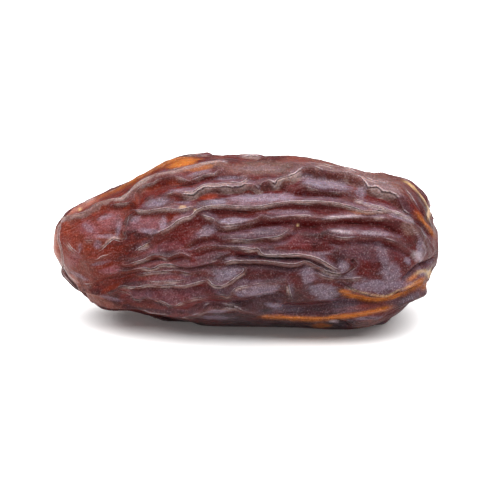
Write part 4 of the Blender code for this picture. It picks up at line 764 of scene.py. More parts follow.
@dataclass(frozen=True)
class Nearness:
    """Where a line comes near the skin: the points' rows, how strongly it shows at each, how much wider it
    really is than it looks, how far the point lies above it (or left of it), and how far along it."""

    rows: np.ndarray
    shown: np.ndarray
    stretch: np.ndarray
    side: np.ndarray
    run: np.ndarray

    @classmethod
    def to_line(
        cls,
        skin: np.ndarray,
        reachable: np.ndarray,
        points: np.ndarray,
        across: np.ndarray,
        stretch: np.ndarray,
        fall: Fall,
    ) -> "Nearness":
        """Finds where a line comes near the skin.

        Args:
            skin: The points of the skin.
            reachable: Which of them the line may reach.
            points: The line's own points.
            across: The way to its upper or left side at each of them.
            stretch: How much wider it really is there than it looks.
            fall: How it falls away.

        Returns:
            The points that it reaches, with its strength there.
        """
        run = run_of(points)
        span = REACH * max(fall.above, fall.below) * stretch.max()
        boxed = np.all((skin > points.min(0) - span) & (skin < points.max(0) + span), axis=1)
        rows = np.flatnonzero(boxed & reachable)
        if not len(rows):
            return cls(rows, *(np.zeros(0) for _ in range(4)))
        near = skin[rows]
        squared = (near**2).sum(1)[:, None] + (points**2).sum(1)[None] - 2 * near @ points.T
        closest = squared.argmin(1)
        away = near - points[closest]
        side = (away * across[closest]).sum(1)
        width = np.where(side > 0, fall.above, fall.below) * stretch[closest]
        share = np.linalg.norm(away, axis=1) / width
        shown = faded_ends(run)[closest] * np.exp(-(share**fall.flatness))
        return cls(rows, shown, stretch[closest], side, run[closest])


@dataclass(frozen=True)
class SkinLine:
    """A line on the skin: a fold's crest or a worn line."""

    along: np.ndarray
    clock: np.ndarray
    stretch: np.ndarray

    STEP = 0.25
    NEAREST_EDGE = 0.985
    LEAST_FACING = 0.42
    ROUNDS = 3

    @classmethod
    def drawn(cls, body: FruitBody, path: Path, lift: float = 0.5) -> "SkinLine":
        """Lays a line that is drawn from the front on the skin.

        Args:
            body: The bare body.
            path: The line.
            lift: How far the folded skin stands out under it.

        Returns:
            The line, with how much wider it really is than it looks from the front.
        """
        place = sampled(path, cls.STEP)
        from_middle = (place - body.view_middle - body.view_shift) / body.view_scale
        for _ in range(cls.ROUNDS):
            along, rise = place.T
            top, bottom = body.reach(along, body.top_outline), body.reach(along, body.bottom_outline)
            limit = np.where(rise > 0, top, bottom) + lift
            clock = np.arcsin(np.clip(rise / limit, -cls.NEAREST_EDGE, cls.NEAREST_EDGE))
            depth = body.depth_to_height * (top + bottom) / 2 * np.cos(clock)
            place = body.view_middle + from_middle * (1 - depth / body.seen_from)[:, None]
        along = np.clip(along, 0, body.length)
        return cls(along, clock, 1 / np.maximum(np.cos(clock), cls.LEAST_FACING))

    def fall_off(self, body: FruitBody, skin: np.ndarray, fall: Fall) -> Nearness:
        """How strongly the line shows at the points of the bare skin near it.

        Args:
            body: The bare body.
            skin: The points of its skin.
            fall: How the line falls away.

        Returns:
            The points that it reaches, with its strength there.
        """
        points = body.skin(self.along, self.clock)
        across = unit(np.cross(body.outward(self.along, self.clock), np.gradient(points, axis=0)))
        return Nearness.to_line(skin, np.ones(len(skin), bool), points, across, self.stretch, fall)


@dataclass(frozen=True)
class DrawnLine:
    """A line of tint, where it is seen from the front on the folded skin."""

    points: np.ndarray

    STEP = 0.2

    @classmethod
    def through(cls, path: Path) -> "DrawnLine":
        """A smooth line through a path's points."""
        return cls(sampled(path, cls.STEP))

    def fall_off(self, seen: np.ndarray, facing: np.ndarray, fall: Fall) -> Nearness:
        """How strongly the line shows at the points of the skin near it.

        Args:
            seen: Where each point of the skin is seen, as (along, rise).
            facing: Which points face the viewer.
            fall: How the line falls away.

        Returns:
            The points that it reaches, with its strength there.
        """
        forward = unit(np.gradient(self.points, axis=0))
        across = np.stack([-forward[:, 1], forward[:, 0]], axis=1)
        return Nearness.to_line(seen, facing, self.points, across, np.ones(len(self.points)), fall)


@dataclass(frozen=True)
class FarFolds:
    """The folds of the side turned away: long wavering ones in lanes between two clock angles.

    Every span is one that a seeded number is drawn from. Lengths are in millimetres.
    """

    seed: int = 5
    first_degrees: float = 80.0
    last_degrees: float = 265.0
    lanes: int = 15
    waver: float = 0.09
    tip_gap: Span = (0.3, 3.0)
    fold_length: Span = (14, 34)
    stalk_gap: Span = (0.2, 1.2)
    least_length: float = 8
    wave_lengths: tuple[float, ...] = (23.0, 12.0, 7.0)
    wave_share: Span = (0.3, 1.0)
    slant: Span = (-0.006, 0.006)
    clock_shift: Span = (-0.04, 0.04)
    steep_fall: Span = (0.35, 0.5)
    gentle_fall: Span = (0.7, 1.1)
    steep_above: float = 0.4
    height: Span = (0.6, 1.05)
    flatness: Span = (1.2, 1.8)
    overlap: Span = (1.0, 4.0)

    def made(self, body: FruitBody) -> list[tuple[float, Fall, SkinLine]]:
        """Draws the folds.

        Args:
            body: The bare body.

        Returns:
            Each fold's height, how it falls away, and its line.
        """
        draw = np.random.default_rng(self.seed)
        last_start = body.length - self.least_length
        longest = self.wave_lengths[0]
        folds = []
        for lane in range(self.lanes):
            across = (self.last_degrees - self.first_degrees) * (lane + 0.5) / self.lanes
            home = math.radians(self.first_degrees + across)
            start = draw.uniform(*self.tip_gap)
            while start < last_start:
                reached = start + draw.uniform(*self.fold_length)
                end = min(reached, body.length - draw.uniform(*self.stalk_gap))
                along = np.linspace(start, end, int((end - start) / SkinLine.STEP))
                waves = sum(
                    draw.uniform(*self.wave_share)
                    * length
                    / longest
                    * np.sin(2 * np.pi * (along / length + draw.random()))
                    for length in self.wave_lengths
                )
                slant = draw.uniform(*self.slant) * (along - along.mean())
                clock = home + draw.uniform(*self.clock_shift) + slant + self.waver * waves
                steep, gentle = draw.uniform(*self.steep_fall), draw.uniform(*self.gentle_fall)
                above, below = (steep, gentle) if draw.random() < self.steep_above else (gentle, steep)
                height, flatness = draw.uniform(*self.height), draw.uniform(*self.flatness)
                line = SkinLine(along, clock, np.ones(len(along)))
                folds.append((height, Fall(above, below, flatness), line))
                start = end - draw.uniform(*self.overlap) if end < last_start else body.length
        return folds


@dataclass
class SkinGrid:
    """The places of the mesh's points: rings along the fruit, and columns round it that crowd in front."""

    body: FruitBody
    columns: int = 420
    rings: int = 236
    crowding: float = 0.32
    outline_places: int = 4000
    blur_reach: float = 3

    def add_to(self, mesh: bmesh.types.BMesh) -> None:
        """Makes the points and faces, and keeps where each point lies on the fruit.

        Args:
            mesh: The empty mesh that takes them.
        """
        bmesh.ops.create_uvsphere(mesh, u_segments=self.columns, v_segments=self.rings, radius=1)
        ball = np.array([vert.co[:] for vert in mesh.verts])
        self.ring = np.rint(np.arccos(np.clip(ball[:, 2], -1, 1)) / np.pi * self.rings).astype(int)
        turn = np.arctan2(ball[:, 1], ball[:, 0])
        self.column = np.rint(turn / (2 * np.pi) * self.columns).astype(int) % self.columns
        self.along = self.ring_places()[self.ring]
        turn = self.column / self.columns * 2 * np.pi
        self.clock = turn - self.crowding * np.sin(turn)

    def ring_places(self) -> np.ndarray:
        """Where along the fruit the rings lie: evenly along its outline.

        Returns:
            One place for each ring.
        """
        fine = self.body.length * (1 - np.cos(np.linspace(0, np.pi, self.outline_places))) / 2
        reach = self.body.reach(fine, self.body.top_outline)
        run = run_of(np.stack([fine, reach], axis=1))
        return np.interp(np.linspace(0, run[-1], self.rings + 1), run, fine)

    def sheet(self, values: np.ndarray) -> np.ndarray:
        """Lays values out by ring and column.

        Args:
            values: The values at the points.

        Returns:
            The laid out values.
        """
        sheet = np.zeros((self.rings + 1, self.columns, *values.shape[1:]))
        sheet[self.ring, self.column] = values
        return sheet

    def blur_shares(self, span: float) -> np.ndarray:
        """The shares that a point and its neighbours to both sides have in a soft average.

        Args:
            span: How many neighbours it spreads over.

        Returns:
            The shares, which add up to 1.
        """
        wide = int(self.blur_reach * span)
        shares = np.exp(-((np.arange(-wide, wide + 1) / span) ** 2) / 2)
        return shares / shares.sum()

    def blurred(self, values: np.ndarray, ring_span: float, column_span: float) -> np.ndarray:
        """Values at the points, averaged softly over their neighbours.

        Args:
            values: One number for each point.
            ring_span: How many rings the average spreads over.
            column_span: How many columns it spreads over.

        Returns:
            The averaged numbers.
        """
        sheet = self.sheet(values)
        sheet[0] = values[self.ring == 0].mean()
        sheet[-1] = values[self.ring == self.rings].mean()
        shares = self.blur_shares(ring_span)
        wide = len(shares) // 2
        padded = np.pad(sheet, ((wide, wide), (0, 0)), mode="edge")
        sheet = sum(share * padded[i : i + len(sheet)] for i, share in enumerate(shares))
        shares = self.blur_shares(column_span)
        wide = len(shares) // 2
        sheet = sum(share * np.roll(sheet, i - wide, axis=1) for i, share in enumerate(shares))
        return sheet[self.ring, self.column]

    def normals(self, skin: np.ndarray) -> np.ndarray:
        """Which way the skin faces at each point, outward.

        Args:
            skin: Where its points lie.

        Returns:
            A unit vector for each point.
        """
        sheet = self.sheet(skin)
        lengthwise = np.gradient(sheet, axis=0)
        around = np.roll(sheet, -1, axis=1) - np.roll(sheet, 1, axis=1)
        return unit(np.cross(lengthwise, around))[self.ring, self.column]


class LineSheets:
    """How far each point lies from the fine lines, in sheets within which no two lines come near each other.

    The material draws the lines from these distances, so they stay crisp between the mesh's points.
    """

    SHEETS = 6
    PER_VECTOR = 3
    APART = 1.25
    FAR = 0.6
    ALONE = 60.0

    def __init__(self, body: FruitBody, size: int) -> None:
        """Makes empty sheets for that many points."""
        self.body = body
        self.side = np.full((self.SHEETS, size), self.FAR)
        self.worn = np.zeros((self.SHEETS, size))
        self.lines: list[list[np.ndarray]] = [[] for _ in range(self.SHEETS)]

    def gap(self, sheet: int, points: np.ndarray) -> float:
        """How near a line comes to the lines that are already in a sheet.

        Args:
            sheet: The sheet's number.
            points: The line's points.

        Returns:
            The least distance.
        """
        gaps = [self.ALONE]
        for other in self.lines[sheet]:
            lows = np.maximum(points.min(0) - other.max(0), other.min(0) - points.max(0))
            if lows.max() < self.APART:
                gaps.append(float(np.sqrt(((points[:, None] - other[None]) ** 2).sum(-1).min())))
        return min(gaps)

    def take(self, line: SkinLine, near: Nearness, worn: np.ndarray) -> None:
        """Puts a line in the first sheet that has room for it.

        Args:
            line: The line.
            near: The points that it comes near.
            worn: How strongly it shows at each.
        """
        points = self.body.skin(line.along, line.clock)
        gaps = [self.gap(sheet, points) for sheet in range(self.SHEETS)]
        free = [sheet for sheet, gap in enumerate(gaps) if gap > self.APART]
        sheet = free[0] if free else int(np.argmax(gaps))
        self.lines[sheet].append(points)
        seen = near.side / near.stretch
        closer = np.abs(seen) < np.abs(self.side[sheet, near.rows])
        rows = near.rows[closer]
        self.side[sheet, rows] = seen[closer]
        self.worn[sheet, rows] = (worn * near.shown)[closer]

    def store(self, data: bpy.types.Mesh) -> None:
        """Keeps the sheets as vectors at the mesh's points, three sheets to a vector.

        Args:
            data: The mesh.
        """
        for first in range(0, self.SHEETS, self.PER_VECTOR):
            for name, values in (("side", self.side), ("worn", self.worn)):
                held = values[first : first + self.PER_VECTOR]
                vectors = np.ascontiguousarray(held.T, dtype=np.float32)
                name = f"line_{name}_{first // self.PER_VECTOR}"
                kept = data.attributes.new(name, "FLOAT_VECTOR", "POINT")
                kept.data.foreach_set("vector", vectors.ravel())


@dataclass(frozen=True)
class LineWear:
    """How a fine line breaks up; below it worn skin, above it wax with painted sheen, further down painted
    shade.

    Lengths are in millimetres as they look from the front, and heights are counted upwards from the line.
    In a span the share rises from 0 at its first number to 1 at its second.
    """

    fall: Fall = Fall(0.5, 0.5, 6.0)
    least: float = 0.15
    least_when_strong: float = 0.5
    strong: Span = (0.75, 0.95)
    breaks: Span = (-0.2, 0.35)
    far_strength: float = 0.7
    band_fall: Fall = Fall(1.7, 1.7, 8.0)
    band_least: float = 0.45
    band_breaks: Span = (-0.35, 0.3)
    least_width: float = 0.2
    worn_width: float = 0.35
    worn_sway: float = 0.8
    waxed_width: float = 0.65
    waxed_sway: float = 0.6
    worn_top: Span = (0.08, -0.06)
    worn_foot: Span = (-0.15, 0.15)
    waxed_foot: Span = (-0.04, 0.12)
    waxed_top: Span = (0.3, -0.25)
    painted_shade_foot: Span = (-0.9, -0.35)
    painted_shade_top: Span = (0.1, -0.2)
    worn_share: float = 0.5
    wax_and_sheen_share: float = 0.5
    from_tip: Span = (6, 18)
    least_at_tip: float = 0.5

    def kept(self, strength: float, patchy: np.ndarray) -> np.ndarray:
        """How much of a line of that strength is left where the skin is so patchy."""
        least = self.least + self.least_when_strong * smoothstep(*self.strong, abs(strength))
        return strength * at_least(least, smoothstep(*self.breaks, patchy))


@dataclass(frozen=True)
class ReliefShade:
    """How the tints follow the relief: painted shade in the valleys and on downward slopes, worn crests, and
    wax with painted sheen on raised parts and on slopes that face the sky.

    Heights and places are in millimetres, and a slope is how much higher the folded skin faces than the bare
    one. In a span the share rises from 0 at its first number to 1 at its second. A blur is in rings and
    columns.
    """

    near_blur: Span = (2.5, 4.0)
    wide_blur: Span = (7.0, 12.0)
    slope_blur: Span = (0.7, 1.0)
    hollow_depth: Span = (0.0, 0.22)
    hollow_near_share: float = 0.5
    crest_height: Span = (0.1, 0.25)
    crest_share: float = 0.08
    raised_wax_and_sheen: Span = (0.0, 0.5)
    raised_wax_and_sheen_share: float = 0.04
    waxed_from_tip: Span = (8, 24)
    waxed_at_tip: float = 0.1
    waxed_patches: Span = (-0.2, 0.4)
    waxed_between: float = 0.35
    waxed_rise: Span = (-9, -3)
    waxed_low: float = 0.5
    wax_and_sheen_slope: Span = (0.15, 0.6)
    wax_and_sheen_share: float = 0.6
    shaded_slope: Span = (0.08, 0.45)
    shaded_share: float = 0.95
    red_end: Span = (26, 8)
    red_share: float = 0.45


@dataclass
class FruitSkin:
    """The wrinkled skin: how far it stands out everywhere, and the tints that lie on it.

    Lengths are in millimetres. In a span the share rises from 0 at its first number to 1 at its second.
    """

    body: FruitBody = field(default_factory=FruitBody)
    far_folds: FarFolds = field(default_factory=FarFolds)
    line_wear: LineWear = field(default_factory=LineWear)
    relief_shade: ReliefShade = field(default_factory=ReliefShade)
    relief_scale: float = 0.95
    height_stretch: float = 0.4
    edge_relief: float = 0.3
    edge_degrees: float = 14.0
    far_edge_degrees: float = 8.0
    lain_on_relief: float = 0.12
    lain_on: Span = (0.5, 1.9)
    scar_margin: float = 2
    press: float = 0.8
    wrinkle: float = 0.12
    ripple: float = 0.08
    crease: float = 0.04
    ripple_lanes: tuple[float, float, float] = (0.42, 3.0, 0.37)
    ripple_reach: Span = (3.0, 0.8)
    outline_share: float = 0.9
    crest_lift: float = 1.15
    crease_lift: float = 0.3
    wrinkle_noise: Wander = Wander(2.2, 5, 0.35)
    crease_noise: Wander = Wander(0.9, 11, 0.3)
    patch_noise: Wander = Wander(1.6, 29, 0.7)
    sway_noise: Wander = Wander(3.2, 31, 0.5)
    ragged_noise: Wander = Wander(0.75, 37, 0.6)
    frayed_noise: Wander = Wander(0.33, 41, 0.8)
    frayed_share: float = 0.5
    stroke_flatness: float = 2.5
    stroke_facing: Span = (-0.05, 0.15)
    stroke_breaks: float = 0.5
    break_limits: Span = (-1, 0.2)
    patch_edge: Span = (1.35, 0.6)
    patch_edge_breaks: float = 0.45
    patch_breaks: float = 0.25
    patch_facing: Span = (-0.05, 0.2)
    faintest: float = 0.01
    line_facing: Span = (0.3, 1.0)

    def lifted(self, fold: Fold) -> float:
        """How far a fold's crest stands out, or how far the skin beside a crease does."""
        return max(self.crease_lift, self.crest_lift * fold.height)

    def lay(self, grid: SkinGrid) -> None:
        """Lays the folds and the tints on the grid's points.

        Args:
            grid: The mesh's points.
        """
        self.grid = grid
        self.bare = self.body.skin(grid.along, grid.clock)
        self.way_out = self.body.outward(grid.along, grid.clock)
        self.tints = {tint: np.zeros(len(self.bare)) for tint in Tint}
        self.lay_folds()
        lifted = self.bare + self.way_out * (self.share() * self.relief_scale * self.lift)[:, None]
        self.seen = self.body.seen(lifted)
        self.facing = grid.normals(self.bare)[:, 2]
        self.patchy = self.wander(self.patch_noise)
        self.ragged = self.wander(self.ragged_noise) + self.frayed_share * self.wander(self.frayed_noise)
        self.lay_fine_lines()
        for tint, rows in STROKES.items():
            for row in rows:
                self.lay_stroke(Stroke(tint, *row))
        for tint, rows in PATCHES.items():
            for row in rows:
                self.lay_patch(Patch(tint, *row))

    def lay_folds(self) -> None:
        """Adds up the folds, and keeps how far each point is from the nearest crest and along it."""
        seen = [Fold(*row) for row in SEEN_FOLDS]
        folds = [(f.height, f.fall, SkinLine.drawn(self.body, f.path, self.lifted(f))) for f in seen]
        self.lift = np.zeros(len(self.bare))
        self.from_crest = np.full(len(self.bare), self.ripple_reach[0])
        self.lane = np.zeros((len(self.bare), 3))
        for number, (height, fall, line) in enumerate(folds + self.far_folds.made(self.body)):
            near = line.fall_off(self.body, self.bare, fall)
            self.lift[near.rows] += height * near.stretch**self.height_stretch * near.shown
            closer = np.abs(near.side) < self.from_crest[near.rows]
            rows = near.rows[closer]
            self.from_crest[rows] = np.abs(near.side[closer])
            lanes = np.stack([near.side, near.run, np.full(len(near.rows), number)], axis=1)
            self.lane[rows] = lanes[closer]

    def lay_fine_lines(self) -> None:
        """Lays the drawn worn lines and creases, and a worn line on each fold of the far side."""
        self.line_sheets = LineSheets(self.body, len(self.bare))
        self.sway = self.wander(self.sway_noise)
        for strength, path in HAIRLINES:
            self.lay_fine_line(strength, SkinLine.drawn(self.body, path), path)
        for depth, path in CREASES:
            self.lay_fine_line(-depth, SkinLine.drawn(self.body, path), path)
        for _, _, line in self.far_folds.made(self.body):
            self.lay_fine_line(self.line_wear.far_strength, line, None)

    def lay_fine_line(self, strength: float, line: SkinLine, path: Path | None) -> None:
        """Puts a line in the sheets, and, unless it is a crease, lays worn skin, wax with painted sheen and
        painted shade beside it.

        Args:
            strength: How strong it is, less than 0 for a crease.
            line: The line on the skin.
            path: The line as it is drawn from the front, if it is.
        """
        wear = self.line_wear
        near = self.near(line, path, wear.fall)
        self.line_sheets.take(line, near, wear.kept(strength, self.patchy[near.rows]))
        if strength < 0:
            return
        band = self.near(line, path, wear.band_fall)
        along = self.bare[band.rows, 0]
        sway = self.sway[band.rows]
        seen = band.side / band.stretch
        worn = strength * band.shown * at_least(
            wear.band_least, smoothstep(*wear.band_breaks, self.patchy[band.rows])
        )
        worn *= at_least(wear.least_at_tip, smoothstep(*wear.from_tip, along))
        below = seen + wear.least_width + wear.worn_width * strength * (1 + wear.worn_sway * sway)
        above = seen - wear.least_width - wear.waxed_width * strength * (1 - wear.waxed_sway * sway)
        # Worn skin just below the line, wax with painted sheen above it, and painted shade further down.
        crest = smoothstep(*wear.worn_top, seen) * smoothstep(*wear.worn_foot, below)
        wax_and_sheen = smoothstep(*wear.waxed_foot, seen) * smoothstep(*wear.waxed_top, above)
        painted_shade = smoothstep(*wear.painted_shade_foot, below) * smoothstep(*wear.painted_shade_top, below)
        self.strengthen(Tint.CREST, band.rows, wear.worn_share * worn * crest)
        self.strengthen(Tint.BLOOM, band.rows, wear.wax_and_sheen_share * self.wax_left(along) * worn * wax_and_sheen)
        self.strengthen(Tint.PAINTED_SHADE, band.rows, worn * painted_shade)

    def lay_stroke(self, stroke: Stroke) -> None:
        """Lays a line of tint, a little ragged, where it is seen from the front.

        Args:
            stroke: The line.
        """
        from_edge, full = self.stroke_facing
        fall = Fall(stroke.fall_above, stroke.fall_below, self.stroke_flatness)
        near = DrawnLine.through(stroke.path).fall_off(self.seen, self.facing > from_edge, fall)
        broken = 1 + self.stroke_breaks * np.clip(self.ragged[near.rows], *self.break_limits)
        broken *= smoothstep(from_edge, full, self.facing[near.rows])
        self.strengthen(stroke.tint, near.rows, stroke.strength * near.shown * broken)

    def lay_patch(self, patch: Patch) -> None:
        """Lays a soft oval of tint, with a ragged edge, where it is seen from the front.

        Args:
            patch: The oval.
        """
        slant = math.radians(patch.slant)
        along = self.seen[:, 0] - patch.along
        rise = self.seen[:, 1] - patch.rise
        lengthwise = (along * math.cos(slant) + rise * math.sin(slant)) / patch.half_length
        upward = (rise * math.cos(slant) - along * math.sin(slant)) / patch.half_height
        away = np.sqrt(lengthwise**2 + upward**2) * (1 + self.patch_edge_breaks * self.ragged)
        shown = patch.strength * smoothstep(*self.patch_edge, away)
        shown *= 1 + self.patch_breaks * np.clip(self.ragged, -1, 1)
        shown *= smoothstep(*self.patch_facing, self.facing)
        rows = np.flatnonzero(shown > self.faintest)
        self.strengthen(patch.tint, rows, shown[rows])

    def near(self, line: SkinLine, path: Path | None, fall: Fall) -> Nearness:
        """Finds where a line comes near, as it is seen from the front if it is drawn there.

        Args:
            line: The line on the skin.
            path: The line as it is drawn, if it is.
            fall: How it falls away.

        Returns:
            The points that it reaches, with its strength there.
        """
        if not path or self.outermost(path) > self.outline_share:
            return line.fall_off(self.body, self.bare, fall)
        near = DrawnLine.through(path).fall_off(self.seen, self.facing > 0, fall)
        return Nearness(
            near.rows, near.shown, np.clip(self.facing[near.rows], *self.line_facing), near.side, near.run
        )

    def outermost(self, path: Path) -> float:
        """How near a drawn line comes to the body's outline above or below.

        Args:
            path: The line.

        Returns:
            The nearest share of the way to the outline: 1 is on it.
        """
        along, rise = np.array(path, float).reshape(-1, 2).T
        top = self.body.reach(along, self.body.top_outline)
        bottom = self.body.reach(along, self.body.bottom_outline)
        return float((np.abs(rise) / np.where(rise > 0, top, bottom)).max())

    def strengthen(self, tint: Tint, rows: np.ndarray, strength: np.ndarray) -> None:
        """Raises a tint at some points to at least the given strength."""
        self.tints[tint][rows] = np.maximum(self.tints[tint][rows], strength)

    def wander(self, wander: Wander) -> np.ndarray:
        """Smooth seeded noise in -1 to 1 at each point, stretched along the fruit."""
        return noise_at(self.bare * np.array([wander.stretch, 1, 1]) / wander.spacing, wander.seed)

    def wax_left(self, along: np.ndarray) -> np.ndarray:
        """How much of its wax the skin still has at each place along the fruit: little at the tip."""
        shade = self.relief_shade
        return at_least(shade.waxed_at_tip, smoothstep(*shade.waxed_from_tip, along))

    def share(self) -> np.ndarray:
        """How much of the folds' height shows at each point: little at the outline and where the fruit lies.

        Returns:
            The share at each point.
        """
        clock = self.grid.clock
        past_edge = np.abs(np.degrees(np.arctan2(np.sin(clock), np.cos(clock)))) - 90
        rising = smoothstep(0, self.edge_degrees, -past_edge)
        rising += smoothstep(0, self.far_edge_degrees, past_edge)
        height = self.body.height(self.bare)
        share = at_least(self.edge_relief, rising)
        share *= at_least(self.lain_on_relief, smoothstep(*self.lain_on, height - height.min()))
        return share * smoothstep(0, self.body.scar_radius * self.scar_margin, self.from_axis())

    def from_axis(self) -> np.ndarray:
        """How far each point of the bare skin lies from the fruit's axis."""
        return np.hypot(self.bare[:, 1], self.bare[:, 2])

    def relief(self) -> np.ndarray:
        """How far the skin stands out from the bare body.

        Returns:
            The height at each point.
        """
        wrinkled = self.wrinkle * ridged(self.wander(self.wrinkle_noise))
        rippled = ridged(noise_at(self.lane / np.array(self.ripple_lanes)))
        rippled *= smoothstep(*self.ripple_reach, self.from_crest)
        creased = ridged(self.wander(self.crease_noise))
        fine = self.ripple * rippled + self.crease * creased
        lift = self.share() * (self.relief_scale * self.lift + wrinkled + fine)
        return self.body.scar(self.grid.along, self.from_axis()) + lift

    def stood_out(self) -> np.ndarray:
        """Folds the skin, rolls it back, presses it flat where it lies and centres it.

        Returns:
            The skin's points in metres.
        """
        way_out = self.way_out.copy()
        way_out[self.grid.ring == 0] = (-1, 0, 0)
        way_out[self.grid.ring == self.grid.rings] = (1, 0, 0)
        relief = self.relief()
        skin = self.bare + way_out * relief[:, None]
        turn = self.body.roll
        x = skin[:, 0]
        y = skin[:, 1] * math.sin(turn) - skin[:, 2] * math.cos(turn)
        z = self.body.height(skin)
        z = np.maximum(z - z.min() - self.press, 0)
        x = x - (x.min() + x.max()) / 2
        y = y - (y.min() + y.max()) / 2
        self.shade(relief)
        return np.stack([x, y, z], axis=1) * MM

    def shade(self, relief: np.ndarray) -> None:
        """Sets the relief's tints: painted shade in valleys and on downward slopes, worn crests, wax and
        painted sheen upward.

        Args:
            relief: How far the skin stands out at each point.
        """
        rule = self.relief_shade
        every = np.arange(len(relief))
        near = relief - self.grid.blurred(relief, *rule.near_blur)
        wide = relief - self.grid.blurred(relief, *rule.wide_blur)
        depth = -wide - rule.hollow_near_share * near
        # Painted shade in the valleys, worn crests on the tops, and a little wax with painted sheen on raised
        # parts.
        self.strengthen(Tint.PAINTED_SHADE, every, smoothstep(*rule.hollow_depth, depth))
        self.strengthen(Tint.CREST, every, rule.crest_share * smoothstep(*rule.crest_height, near))
        self.strengthen(Tint.BLOOM, every, rule.raised_wax_and_sheen_share * smoothstep(*rule.raised_wax_and_sheen, wide))
        # Wax with painted sheen on slopes that face the sky, and painted shade on slopes that face down.
        upward = self.upward_slope(relief)
        pale_share = self.wax_left(self.bare[:, 0])
        pale_share *= at_least(rule.waxed_between, smoothstep(*rule.waxed_patches, self.patchy))
        pale_share *= at_least(rule.waxed_low, smoothstep(*rule.waxed_rise, self.bare[:, 1]))
        pale_share *= smoothstep(*rule.wax_and_sheen_slope, upward)
        self.strengthen(Tint.BLOOM, every, rule.wax_and_sheen_share * pale_share)
        self.strengthen(Tint.PAINTED_SHADE, every, rule.shaded_share * smoothstep(*rule.shaded_slope, -upward))
        # Near the tip, the painted shade takes on the red of the thin skin.
        red = rule.red_share * smoothstep(*rule.red_end, self.bare[:, 0])
        self.strengthen(Tint.EMBER, every, red * self.tints[Tint.PAINTED_SHADE])

    def upward_slope(self, relief: np.ndarray) -> np.ndarray:
        """How much more each point faces the sky than the bare skin does there.

        Args:
            relief: How far the skin stands out at each point.

        Returns:
            The difference between the two directions' heights.
        """
        smooth = self.grid.blurred(relief, *self.relief_shade.slope_blur)
        folded = self.grid.normals(self.bare + self.way_out * smooth[:, None])
        return self.body.height(folded - self.grid.normals(self.bare))


def linear(red: int, green: int, blue: int) -> tuple[float, float, float, float]:
    """A colour as seen on a screen, 0 to 255, as light."""
    shares = (np.array([red, green, blue]) / SCREEN_WHITE) ** SCREEN_GAMMA
    return (*(float(share) for share in shares), 1.0)


class NodeKit:
    """Adds and joins shader nodes in one tree."""

    def __init__(self, tree: bpy.types.NodeTree) -> None:
        """Keeps the tree that the nodes go into."""
        self.tree = tree

    def add(self, kind: str, settings: dict | None = None, **sockets: object) -> bpy.types.Node:
        """Adds a node.

        Args:
            kind: The node's type.
            settings: Its properties.
            **sockets: Its inputs by name, with _ for a space: a value, or an output to link.

        Returns:
            The node.
        """
        node = self.tree.nodes.new(kind)
        for name, value in (settings or {}).items():
            setattr(node, name, value)
        for name, value in sockets.items():
            self.feed(node.inputs[name.replace("_", " ")], value)
        return node

    def feed(self, socket: bpy.types.NodeSocket, value: object) -> None:
        """Links an output to an input, or sets the input's value."""
        if isinstance(value, bpy.types.NodeSocket):
            self.tree.links.new(value, socket)
        else:
            socket.default_value = value

    def sum(self, operation: str, *values: object, clamped: bool = False) -> bpy.types.NodeSocket:
        """The result of a sum on numbers.

        Args:
            operation: The sum.
            *values: The numbers.
            clamped: Whether it is kept within 0 and 1.

        Returns:
            The result.
        """
        node = self.add("ShaderNodeMath", {"operation": operation, "use_clamp": clamped})
        for socket, value in zip(node.inputs, values):
            self.feed(socket, value)
        return node.outputs[0]

    def share(self, operation: str, first: object, second: object) -> bpy.types.NodeSocket:
        """The result of a sum on two numbers, kept within 0 and 1."""
        return self.sum(operation, first, second, clamped=True)

    def ramp(
        self, value: object, low: float, high: float, start: float = 0.0, end: float = 1.0
    ) -> bpy.types.NodeSocket:
        """Carries a number smoothly from one range to another, and holds it beyond them.

        Args:
            value: The number.
            low: Where the first range starts.
            high: Where it ends.
            start: What low becomes.
            end: What high becomes.

        Returns:
            The carried number.
        """
        node = self.add("ShaderNodeMapRange", {"clamp": True, "interpolation_type": "SMOOTHSTEP"})
        for name, given in zip(RAMP_SOCKETS, (value, low, high, start, end)):
            self.feed(node.inputs[name], given)
        return node.outputs[0]

    def mix(self, share: object, under: object, over: object, blend: str = "MIX") -> bpy.types.NodeSocket:
        """Lays a share of one colour on another.

        Args:
            share: The share.
            under: The colour that it is laid on.
            over: The colour that is laid.
            blend: How it is laid.

        Returns:
            The mixed colour.
        """
        node = self.add("ShaderNodeMix", {"data_type": "RGBA", "blend_type": blend})
        for number, value in zip(COLOUR_MIX_INPUTS, (share, under, over)):
            self.feed(node.inputs[number], value)
        return node.outputs[COLOUR_MIX_OUTPUT]

    def tint(self, tint: Tint) -> bpy.types.NodeSocket:
        """The strength of one of the skin's tints."""
        kept = {"attribute_name": tint.value, "attribute_type": "GEOMETRY"}
        return self.add("ShaderNodeAttribute", kept).outputs["Fac"]

    def noise(self, place: object, grain: Grain) -> bpy.types.NodeSocket:
        """Grains of noise, from 0 to 1."""
        made = {"Scale": grain.scale, "Detail": grain.detail, "Roughness": grain.roughness}
        return self.add("ShaderNodeTexNoise", Vector=place, **made).outputs["Fac"]


def new_group(name: str, inputs: dict[str, str], outputs: dict[str, str]) -> bpy.types.NodeTree:
    """An empty node group.

    Args:
        name: Its name.
        inputs: Each input's name, and Float or Color for what it holds.
        outputs: The same for each output.

    Returns:
        The group.
    """
    group = bpy.data.node_groups.new(name, "ShaderNodeTree")
    for in_out, sockets in (("INPUT", inputs), ("OUTPUT", outputs)):
        for socket, holds in sockets.items():
            group.interface.new_socket(socket, in_out=in_out, socket_type=f"NodeSocket{holds}")
    return group


